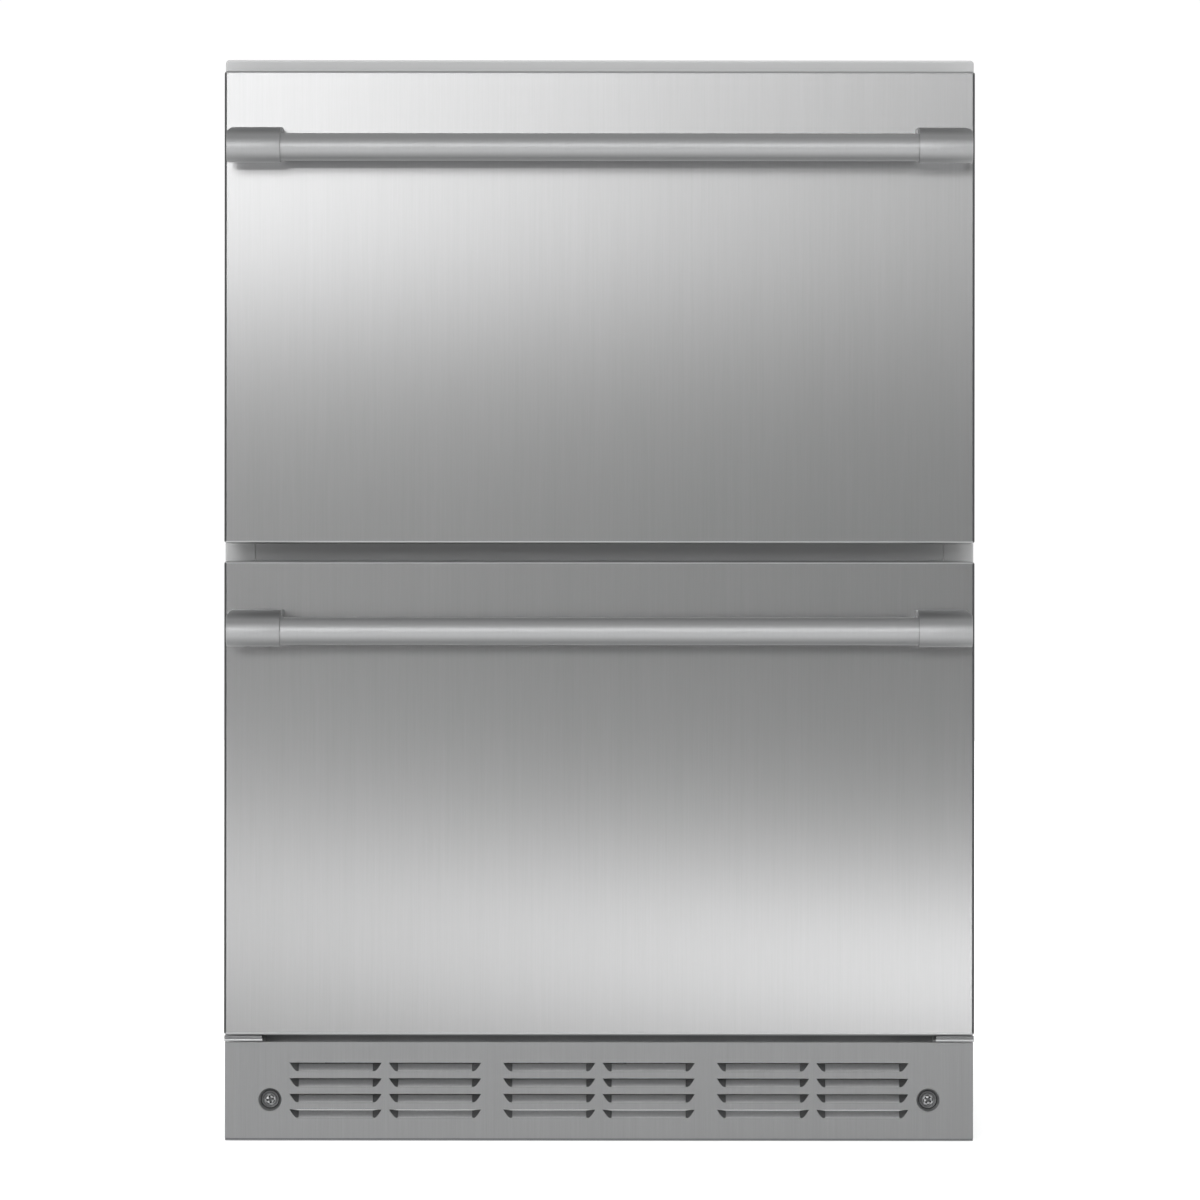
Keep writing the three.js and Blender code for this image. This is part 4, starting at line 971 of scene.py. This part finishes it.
# ------------------------------------------------------------------ drawer boxes
def drawer_box(name, d):
    y0, L, H, z0, X, T = 40.3, d["depth"], d["boxh"], d["box"], 250.0, 1.2
    y1 = y0 + L

    def ring(inset, z, r=None):
        return plan_loop(-X + inset, X - inset, y0 + inset, y1 - inset, max(0.8, (12 - inset) if r is None else r), z0 + z, 8)

    def lip(out, z):
        # the rim stands out at the sides and the back, and stays flush in front
        return plan_loop(-X - out, X + out, y0 + 0.01 * (6 - out), y1 + out, 12 + out * 0.4, z0 + z, 8)

    f = 4.0  # fold radius along the floor
    loops = []
    for k in range(0, 7):
        t = math.radians(90 * k / 6)
        loops.append(ring(f * (1 - math.sin(t)), f * (1 - math.cos(t))))
    loops += [ring(0, f + 1), ring(0, H - T - 0.6), lip(0.6, H - T - 0.05), lip(6 - T - 0.4, H - T), lip(6 - T, H - T - 0.4),
              lip(6 - T, H - 7.8), lip(6 - T + 0.3, H - 8.0), lip(6 - 0.3, H - 8.0), lip(6, H - 7.7), lip(6, H - 1.4),
              lip(5.6, H - 0.5), lip(4.7, H), lip(0.2, H)]
    loops += [ring(0.5, H - 0.1), ring(1.0, H - 0.6), ring(T, H - 1.4), ring(T, f + 1)]
    for k in range(0, 7):
        t = math.radians(90 - 90 * k / 6)
        loops.append(ring(T + (f - T) * (1 - math.sin(t)), T + (f - T) * (1 - math.cos(t)), max(0.8, 12 - T - (f - T) * (1 - math.sin(t)))))
    me = loft("box", loops, cap=(True, True))
    cutters = []
    for at in (0.3, 0.7):
        for k in range(5):
            pts = capsule(-180 + k * 90, L * at, 70, 6)
            cutters.append(prism("slot", [(px, y0 + py) for px, py in pts], "z", z0 - 5, z0 + 5))
    for k in range(4):
        for z in (H - 43, H - 57):
            pts = capsule(-150 + k * 100, z, 80, 6)
            cutters.append(prism("slot", [(px, z0 + pz) for px, pz in pts], "y", y1 - 5, y1 + 4))
    me = finished(me, 0, 1, 35, [joined("slots", cutters)])
    link(name + "_drawer_box_folded", me, BOX_STEEL, name + "_drawer", (name + "_drawer_box",), 34)


for key, d in DRAWERS.items():
    drawer_box(key, d)


# ------------------------------------------------------------------ cold side
def cold_cover():
    y, z0, z1, x = 500.0, 330.0, 800.0, 250.0
    holes = [[(44 * math.cos(math.radians(k * 5)), 700 + 44 * math.sin(math.radians(k * 5))) for k in range(72)]]
    for i in range(5):
        for z in (355, 369):
            holes.append(capsule(-180 + i * 90, z, 80, 6))
    for i in range(3):
        for s in (-1, 1):
            holes.append(capsule(s * 160, 743 + i * 14, 100, 6))
    r = 6.0
    face = sheet_with_holes("cover", [(px, pz) for px, _, pz in rect_loop(-x + r, x - r, z0 + r, z1 - r, 4, 0, 5)], holes, y, 2.0, 0.3)
    loops = []
    for k in range(0, 7):
        t = math.radians(90 * k / 6)
        i = r * (1 - math.sin(t))
        loops.append(rect_loop(-x + i, x - i, z0 + i, z1 - i, 4 + (r - i), y + r * (1 - math.cos(t)), 5))
    loops += [rect_loop(-x, x, z0, z1, 10, 551.6, 5), rect_loop(-x + 2, x - 2, z0 + 2, z1 - 2, 8, 551.6, 5)]
    for k in range(0, 7):
        t = math.radians(90 - 90 * k / 6)
        i = 2 + (r - 2) * (1 - math.sin(t))
        loops.append(rect_loop(-x + i, x - i, z0 + i, z1 - i, 4 + (r - i), y + 2 + (r - 2) * (1 - math.cos(t)), 5))
    loops.append(rect_loop(-x + r, x - r, z0 + r, z1 - r, 4, y + 2, 5))
    shell = loft("cover", loops, cap=(False, False), closed=True)
    rings = []
    for rad in (16.8, 30.8, 44.2):
        rings.append(turned("ring", [(rad - 1.2, 0.0), (rad - 0.7, -0.0), (rad + 0.7, -0.0), (rad + 1.2, 0.6), (rad + 1.2, 2.0),
                                     (rad - 1.2, 2.0), (rad - 1.2, 0.0)], 72, "y", (0, y, 700)))
    bars = []
    for a in range(0, 180, 30):
        b = slab(-45, 45, 0.35, 1.9, -1.1, 1.1)
        b.transform(Matrix.Translation((0, -SHIFT / 1000.0, 0)))
        b.transform(Matrix.Translation(place(0, y, 700)) @ Matrix.Rotation(math.radians(a), 4, "Y"))
        bars.append(finished(b, 0.3, 2, 35))
    link("evaporator_cover_moulded", joined("cover", [face, shell, *rings, *bars]), LINER, "cabinet",
         ("evaporator_cover",), 34)


cold_cover()


def rotor(name, tip, hub, blades, length, axis, at, sweep=24.0, pitch=26.0):
    """A fan rotor: a hub with a domed cap and swept, cambered, twisted blades."""
    hub_prof = [(0, length), (hub * 0.5, length - 0.1), (hub * 0.85, length - 0.9), (hub, length - 2.2), (hub, 1.0), (hub - 0.6, 0.6),
                (hub - 2.4, 0.6), (hub - 2.4, length - 3.0), (0, length - 3.2)]
    pieces = [turned("hub", hub_prof, 48, "z", (0, 0, 0))]
    mid, half = length / 2 + 0.3, (length - 0.8) / 2
    for b in range(blades):
        verts, faces = [], []
        rows, cols = 12, 12
        for side in (0, 1):
            for i in range(rows + 1):
                u = i / rows
                r = (hub - 1.0) + (tip - hub + 1.0) * u
                chord = (0.95 - 0.22 * u) * 2 * math.pi / blades * (0.72 if u < 0.05 else 0.78)
                lead = math.radians(sweep) * u * u
                tilt = math.radians(pitch * (1.15 - 0.45 * u))
                for k in range(cols + 1):
                    v = k / cols - 0.5
                    rr = r - (tip * 0.10) * (abs(2 * v) ** 4) * u ** 6
                    ang = lead + v * chord
                    z = mid + math.sin(v * math.pi) * min(half - 0.9, chord * r * 0.5 * math.tan(tilt))
                    z += (0.7 if side else -0.7) * (1 - abs(2 * v) ** 6) ** 0.5
                    z = max(0.62, min(length - 0.05, z))
                    verts.append((rr * math.cos(ang), rr * math.sin(ang), z))
        n = (rows + 1) * (cols + 1)
        for i in range(rows):
            for k in range(cols):
                q = i * (cols + 1) + k
                faces.append([q, q + 1, q + cols + 2, q + cols + 1])
                faces.append([n + q, n + q + cols + 1, n + q + cols + 2, n + q + 1])
        for k in range(cols):
            for q in (k, rows * (cols + 1) + k):
                faces.append([q, n + q, n + q + 1, q + 1])
        for i in range(rows):
            for k in (0, cols):
                q = i * (cols + 1) + k
                faces.append([q, q + cols + 1, n + q + cols + 1, n + q])
        turn = 2 * math.pi * b / blades
        verts = [(x * math.cos(turn) - y * math.sin(turn), x * math.sin(turn) + y * math.cos(turn), z) for x, y, z in verts]
        pieces.append(mesh("blade", verts, faces))
    me = joined(name, pieces)
    me.transform(Matrix.Translation((0, -SHIFT / 1000.0, 0)))
    turn = Matrix.Rotation(math.radians(90), 4, "Y") if axis == "x" else Matrix.Rotation(math.radians(90), 4, "X")
    me.transform(Matrix.Translation(place(*at)) @ turn)
    return me


link("evaporator_fan_rotor", rotor("rotor", 42, 14, 5, 10, "y", (0, 514.5, 700)), BLACK_PLASTIC, "evaporator_fan",
     ("evaporator_fan_blade",), 35)
link("condenser_fan_rotor", rotor("rotor", 66, 19, 5, 11, "x", (12, 514, 109.8)), BLACK_PLASTIC, "condenser_fan",
     ("condenser_fan_blade",), 35)


# ------------------------------------------------------------------ machine compartment
def compressor():
    x, y, z = -160.0, 514.0, 25.8
    can = [(0, 14), (40, 14.2), (50, 15.5), (60, 19), (66.5, 25), (70, 33), (71.5, 46), (72, 62), (72.6, 63.2), (74, 64), (74, 70),
           (72.8, 70.8), (72, 72), (71.6, 92), (70.6, 110), (68, 126), (62, 139), (54, 149), (44, 156), (32, 160.5), (18, 162.6), (0, 163)]
    black = [turned("can", can, 72, "z", (x, y, z))]
    plate = prism("plate", [(x + p, y + q) for p, _, q in rect_loop(-86, 86, -60, 60, 12, 0, 6)], "z", z + 8, z + 12)
    black.append(finished(plate, 0.6, 2))
    box = finished(slab(x + 62, x + 92, y - 24, y + 24, z + 60, z + 112), 4.0, 4)
    link("compressor_terminal_cover", box, BLACK_PLASTIC, "cabinet", ("compressor",), 40)
    rubber = []
    for sx in (-72, 72):
        for sy in (-46, 46):
            rubber.append(turned("foot", [(0, 0), (8.2, 0), (9, 0.8), (9, 5.5), (7, 6.4), (7, 8), (9, 9), (9, 17), (8.2, 18), (0, 18)],
                                 32, "z", (x + sx, y + sy, z)))
    link("compressor_grommets", joined("grommets", rubber), RUBBER, "cabinet", ("compressor",), 35)
    link("compressor_can", joined("can", black), BLACK_PAINT, "cabinet", ("compressor",), 34)
    copper = [pipe("pipe", [(x - 60, y + 20, z + 118), (x - 86, y + 20, z + 118), (x - 86, y + 44, z + 118), (x - 86, y + 44, z + 60)], 3.2, 9, 5),
              pipe("pipe", [(x - 60, y - 20, z + 96), (x - 84, y - 20, z + 96), (x - 84, y - 44, z + 96), (x - 84, y - 44, z + 50)], 2.6, 9, 5)]
    link("compressor_pipes", joined("pipes", copper), COPPER, "cabinet", ("compressor",), 40)


compressor()


def condenser():
    x, y, z = 96.0, 514.0, 109.8
    fins = []
    for i in range(27):
        fx = x - 38.6 + i * 77.2 / 26
        fins.append(slab(fx - 0.18, fx + 0.18, y - 69.6, y + 69.6, z - 68.5, z + 68.5))
    ends = [finished(slab(x + a, x + a + 1.2, y - 70, y + 70, z - 84, z + 69), 0.3, 1) for a in (-39.2, 38.0)]
    link("condenser_fins", joined("fins", fins + ends), FIN, "cabinet", ("condenser_coil",), 30)
    tubes = []
    rows = 4
    dz = 138 / rows
    for col, dy in enumerate((-34, 0, 34)):
        for i in range(rows):
            zc = z - 69 + dz * (i + 0.5)
            tubes.append(pipe("tube", [(x - 44, y + dy, zc), (x + 44, y + dy, zc)], 3.6, 1, 5))
        for i in range(rows - 1):
            zc = z - 69 + dz * (i + 0.5)
            s = -1 if i % 2 else 1
            tubes.append(pipe("bend", [(x + s * 40, y + dy, zc), (x + s * 44.2, y + dy, zc), (x + s * 44.2, y + dy, zc + dz),
                                       (x + s * 40, y + dy, zc + dz)], 3.4, 9, 5))
    link("condenser_tubes", joined("tubes", tubes), COPPER, "cabinet", ("condenser_coil",), 40)


condenser()


# ------------------------------------------------------------------ levelling legs
def leg(where, x, y):
    prof = [(0, 0), (16.4, 0), (17, 0.6), (17.2, 1.8), (18.6, 2.3), (19, 2.9), (19, 4.6), (18.4, 5.4), (12, 7.6), (10.4, 8.4)]
    foot = turned("foot", [*prof, (9, 9), (9, 9.4), (0, 9.4)], 56, "z", (x, y, 0))
    hexa = []
    for a, b in ((0.0, 9.0), (0.7, 8.4)):
        hexa.append([(x + (8.9 - (0.7 - a)) * math.cos(math.radians(60 * k + 15)), y + (8.9 - (0.7 - a)) * math.sin(math.radians(60 * k + 15)), 9.4 + a)
                     for k in range(6)])
    hexa += [[(px, py, 15.3) for px, py, _ in hexa[1]], [(x + (px - x) * 0.92, y + (py - y) * 0.92, 16.0) for px, py, _ in hexa[1]]]
    nut = loft("nut", hexa)
    thread = [(0, 16.0)]
    h = 16.0
    while h < 57.5:
        thread += [(4.3, h), (4.98, h + 0.45), (4.98, h + 0.65), (4.3, h + 1.1)]
        h += 1.25
    thread += [(4.0, 59.5), (3.4, 60.0), (0, 60.0)]
    rod = turned("thread", thread, 32, "z", (x, y, 0))
    link(f"levelling_leg_{where}_threaded", joined("leg", [foot, nut, rod]), SCREW_STEEL, "leg_" + where,
         ("levelling_leg_" + where,), 34)


for where, lx, ly in (("front_left", -265, 78), ("front_right", 265, 78), ("rear_left", -265, 574), ("rear_right", 265, 574)):
    leg(where, lx, ly)


# ------------------------------------------------------------------ controls
def controls():
    y, z = 50.0, 799.0
    # a generic temperature in seven-segment digits, behind the window's face
    segs = {"a": (0, 1), "b": (1, 1), "c": (1, 0), "d": (0, -1), "e": (-1, 0), "f": (-1, 1), "g": (0, 0)}
    digits = {"3": "abgcd", "8": "abcdefg"}
    lit = []
    w, h, t = 3.6, 3.6, 0.55
    for n, ch in enumerate("38"):
        cx, cz = -3.4 + n * 6.4, z + 19
        for sname in digits[ch]:
            if sname in "adg":
                oz = {"a": h, "d": -h, "g": 0}[sname]
                lit.append(slab(cx - w / 2 + t * 0.7, cx + w / 2 - t * 0.7, y - 1.42, y - 1.32, cz + oz - t / 2, cz + oz + t / 2))
            else:
                ox = w / 2 if sname in "bc" else -w / 2
                oz = h / 2 if sname in "bf" else -h / 2
                lit.append(slab(cx + ox - t / 2, cx + ox + t / 2, y - 1.42, y - 1.32, cz + oz - h / 2 + t * 0.6, cz + oz + h / 2 - t * 0.6))
    link("display_digits", joined("digits", lit), LED, "cabinet")
    # embossed marks on the buttons: a bar in a ring, a minus, a plus
    marks = {"power": [("ring", 2.3), ("up",)], "colder": [("bar",)], "warmer": [("bar",), ("up2",)]}
    for (key, x) in (("power", 62), ("colder", 82), ("warmer", 102)):
        cap = turned("cap", [(0, -2), (3.2, -2.0), (4.2, -1.85), (4.75, -1.5), (5, -0.9), (5, 6.8), (4.8, 7), (0, 7)], 48, "y", (x, y, z + 19))
        cuts = []
        for m in marks[key]:
            if m[0] == "ring":
                cuts.append(turned("ring", [(1.75, -3), (2.25, -3), (2.25, -1.7), (1.75, -1.7), (1.75, -3)], 40, "y", (x, y, z + 19)))
            elif m[0] == "bar":
                cuts.append(slab(x - 2, x + 2, y - 3, y - 1.7, z + 18.7, z + 19.3))
            elif m[0] == "up":
                cuts.append(slab(x - 0.28, x + 0.28, y - 3, y - 1.7, z + 19.6, z + 22.2))
            else:
                cuts.append(slab(x - 0.3, x + 0.3, y - 3, y - 1.7, z + 17.0, z + 21.0))
        me = finished(cap, 0, 1, 35, cuts)
        link(f"button_{key}_cap", me, INNER, key + "_button", ("button_" + key,), 35)
    # ribbed lens of the compartment light
    ribs = []
    for k in range(81):
        px = -200 + k * 5
        d = 0.0 if k % 2 else 0.45
        ribs.append([(px, y + 18, z - 0.3), (px, y + 18, z - 2.0), (px, y + 20, z - 3.05 - d), (px, y + 28, z - 3.05 - d), (px, y + 36, z - 3.05 - d),
                     (px, y + 38, z - 2.0), (px, y + 38, z - 0.3)])
    link("light_lens_ribbed", loft("lens", ribs), LENS, "cabinet", ("light_lens",), 50)


controls()


# ------------------------------------------------------------------ finish of the carried-over pieces
# the sill rail takes the painted-shade steel: painted shade in the gap under the lower front
FINISH = {
    "cabinet_shell": SHELL_PAINT, "mullion": SHELL_PAINT, "sill_rail": PAINTED_SHADE_STEEL,
    "corner_bracket_left": KICK_STEEL, "corner_bracket_right": KICK_STEEL,
    "back_panel": ZINC, "base_pan": ZINC, "machine_compartment_cover": ZINC,
    "inner_liner": LINER, "evaporator_cover": LINER, "foam_insulation": FOAM,
    "compressor": BLACK_PAINT, "drip_pan": BLACK_PLASTIC, "condenser_fan_frame": BLACK_PLASTIC,
    "condenser_fan_blade": BLACK_PLASTIC, "evaporator_fan_frame": BLACK_PLASTIC,
    "evaporator_fan_blade": BLACK_PLASTIC, "condenser_coil": FIN, "evaporator_coil": FIN,
    "power_inlet": BLACK_PLASTIC, "control_housing": INNER, "control_display": DISPLAY,
    "button_power": INNER, "button_colder": INNER, "button_warmer": INNER, "light_lens": LENS,
    "upper_divider": CLEAR,
}
for n in nodes:
    if n.startswith("levelling_leg"):
        FINISH[n] = ZINC
    elif "_runner_" in n:
        FINISH[n] = RUNNER_STEEL
    elif n.endswith("_inner_panel"):
        FINISH[n] = INNER
    elif n.endswith("_gasket"):
        FINISH[n] = RUBBER
    elif n.endswith("_drawer_box"):
        FINISH[n] = BOX_STEEL
ROUND = {"cabinet_shell": 0.5, "mullion": 0.35, "sill_rail": 0.3, "inner_liner": 1.2, "control_housing": 1.5,
         "evaporator_cover": 1.2, "base_pan": 0.4, "back_panel": 0.3, "drip_pan": 0.6, "compressor": 1.0,
         "upper_drawer_box": 0.3, "lower_drawer_box": 0.3, "upper_inner_panel": 1.4, "lower_inner_panel": 1.4,
         "upper_gasket": 0.5, "lower_gasket": 0.5, "foam_insulation": 0}
for n, material in FINISH.items():
    ob = nodes[n]
    ob.data.materials.clear()
    ob.data.materials.append(material)
    if "custom_normal" in ob.data.attributes:
        ob.data.attributes.remove(ob.data.attributes["custom_normal"])
    if "sharp_edge" in ob.data.attributes:
        ob.data.attributes.remove(ob.data.attributes["sharp_edge"])
    if "sharp_face" in ob.data.attributes:
        ob.data.attributes.remove(ob.data.attributes["sharp_face"])
    ob.data.polygons.foreach_set("use_smooth", [True] * len(ob.data.polygons))
    w = ob.modifiers.new("weld", "WELD")
    w.merge_threshold = 2e-6
    width = ROUND.get(n, 0.25)
    if width:
        b = ob.modifiers.new("bevel", "BEVEL")
        b.width, b.segments, b.limit_method = width / 1000.0, 2, "ANGLE"
        b.angle_limit = math.radians(40)
        b.harden_normals = True

# ------------------------------------------------------------------ floor, light, camera
floor_mesh = bpy.data.meshes.new("floor")
size = 14.0
floor_mesh.from_pydata([(-size, -size, 0), (size, -size, 0), (size, size, 0), (-size, size, 0)], [], [(0, 1, 2, 3)])
floor_shader = Shader("pale_floor", Roughness=0.7)
floor_shader.color(floor_shader.tint(floor_shader.noise(1.5, 4.0), (0.54, 0.54, 0.54), (0.57, 0.57, 0.57)))
floor_shader.bsdf.inputs["Emission Color"].default_value = (1, 1, 1, 1)
floor_shader.bsdf.inputs["Emission Strength"].default_value = 0.5
floor_shader.rough(floor_shader.remap(floor_shader.noise(6.0, 3.0), 0.62, 0.78))
floor = link("studio_floor", floor_mesh, floor_shader.material, smooth=0)
floor.location.z = -0.0004
floor.visible_glossy = False

world = bpy.data.worlds.new("studio")
scene.world = world
world.use_nodes = True
wt = world.node_tree
wt.nodes.clear()


def wnode(kind, inputs=None, **settings):
    n = wt.nodes.new(kind)
    for key, value in settings.items():
        setattr(n, key, value)
    for key, value in (inputs or {}).items():
        if hasattr(value, "is_output"):
            wt.links.new(value, n.inputs[key])
        else:
            n.inputs[key].default_value = value
    return n


def wmath(kind, a, b=0.0):
    return wnode("ShaderNodeMath", {0: a, 1: b}, operation=kind).outputs[0]


direction = wnode("ShaderNodeTexCoord").outputs["Generated"]
axes = wnode("ShaderNodeSeparateXYZ", {0: direction}).outputs


def wramp(value, low, high, stops):
    """Brightness stops along a value that runs from low to high."""
    fac = wnode("ShaderNodeMapRange", {"Value": value, "From Min": low, "From Max": high}).outputs[0]
    ramp = wnode("ShaderNodeValToRGB", {0: fac})
    els = ramp.color_ramp.elements
    while len(els) < len(stops):
        els.new(0.5)
    for e, (deg, v) in zip(els, stops):
        e.position = (math.sin(math.radians(deg)) - low) / (high - low)
        e.color = (v / 5, v / 5, v / 5, 1)
    return wmath("MULTIPLY", wnode("ShaderNodeSeparateColor", {0: ramp.outputs[0]}).outputs[0], 5.0)


def smooth(value, a, b, low=0.0, high=1.0):
    return wnode("ShaderNodeMapRange", {"Value": value, "From Min": a, "From Max": b, "To Min": low, "To Max": high},
                 interpolation_type="SMOOTHSTEP").outputs[0]


# Far up and down: dim walls over and under the lit part of the studio.
FAR = [(-90, 0.48), (-74, 0.48), (-56, 0.66), (-44, 0.86), (-32, 1.1), (-22, 1.1), (-17, 0.6), (16, 1.2), (19, 0.8),
       (28, 0.62), (38, 0.46), (50, 0.42), (90, 0.36)]
# Near the horizon: a softbox just over the camera, the darker room under it and a lit strip of floor.
NEAR = [(-17.0, 0.6), (-7.0, 0.5), (-5.0, 0.0), (-4.2, 0.0), (-3.7, 1.3), (-3.3, 3.05), (-2.9, 3.05), (-2.4, 0.6), (-2.0, 0.0),
        (2.3, 0.0), (2.9, 0.93), (4.15, 1.2), (4.9, 0.1), (6.1, 1.3), (7.6, 3.4), (9.0, 4.05), (11.4, 3.6), (14.0, 1.9), (16.2, 1.2)]
tilt = wmath("MULTIPLY", wmath("MULTIPLY", axes[0], 0.083), smooth(axes[2], 0.0, -0.025))
height = wmath("ADD", axes[2], tilt)
far = wramp(axes[2], -1.0, 1.0, FAR)
near = wramp(height, -0.3, 0.3, NEAR)
# the light falls off from left to right, most of all in the upper part, and the strip of floor the other way
aside = wmath("MULTIPLY", axes[0], smooth(wmath("ABSOLUTE", axes[0]), 0.36, 0.2))
slope = wmath("ADD", smooth(axes[2], 0.012, 0.045, 7.0, 16.0), smooth(axes[2], -0.025, -0.045, 0.0, -13.0))
slope = wmath("ADD", slope, smooth(axes[2], 0.056, 0.07, 0.0, -1.5))
slope = wmath("ADD", slope, smooth(axes[2], -0.068, -0.082, 0.0, 36.0))
fall = wmath("SUBTRACT", 1.0, wmath("MULTIPLY", aside, slope))
fall = wnode("ShaderNodeClamp", {"Value": fall, "Min": 0.05, "Max": 2.2}).outputs[0]
near = wmath("MULTIPLY", near, fall)
pick = wmath("MULTIPLY", smooth(wmath("ABSOLUTE", axes[2]), 0.295, 0.27), smooth(axes[1], 0.0, -0.3))
pick = wmath("MULTIPLY", pick, smooth(wmath("ABSOLUTE", axes[0]), 0.6, 0.42))
level = wmath("ADD", wmath("MULTIPLY", near, pick), wmath("MULTIPLY", far, wmath("SUBTRACT", 1.0, pick)))
# the sides of the studio are darker than its front and back
side = smooth(wmath("ABSOLUTE", axes[0]), 0.72, 0.92, 1.0, 0.28)
level = wmath("MULTIPLY", level, side)
# the white backdrop stands behind
behind = wmath("MULTIPLY", smooth(axes[1], 0.05, 0.3), smooth(wmath("ABSOLUTE", axes[2]), 0.75, 0.55))
level = wmath("ADD", wmath("MULTIPLY", level, wmath("SUBTRACT", 1.0, behind)), wmath("MULTIPLY", behind, 1.1))
gloss = wnode("ShaderNodeBackground", {"Color": (1, 1, 1, 1), "Strength": level})
plain = wnode("ShaderNodeBackground", {"Color": (1, 1, 1, 1), "Strength": 1.02})
ray = wnode("ShaderNodeLightPath")
mix = wnode("ShaderNodeMixShader", {0: ray.outputs["Is Camera Ray"], 1: gloss.outputs[0], 2: plain.outputs[0]})
wt.links.new(mix.outputs[0], wnode("ShaderNodeOutputWorld").inputs[0])


sun = bpy.data.lights.new("high_softbox", "SUN")
sun.energy, sun.angle = 3.3, math.radians(50)
sun_ob = bpy.data.objects.new("high_softbox", sun)
scene.collection.objects.link(sun_ob)
sun_ob.rotation_euler = (math.radians(24), 0, math.radians(-14))
sun_ob.visible_glossy = False

camera = bpy.data.cameras.new("camera")
camera.lens, camera.sensor_width = 186.7, 36.0
camera.clip_start, camera.clip_end = 0.1, 100.0
eye = bpy.data.objects.new("camera", camera)
scene.collection.objects.link(eye)
eye.matrix_world = (
    Matrix.Translation((0.00048, -5.27355, 0.4353))
    @ Matrix.Rotation(math.radians(90), 4, "X")
    @ Matrix.Rotation(math.radians(0.05), 4, "Z")
)
scene.camera = eye
scene.view_settings.view_transform = "Standard"
scene.view_settings.look = "None"
scene.view_settings.exposure = 0.0
scene.view_settings.gamma = 1.0
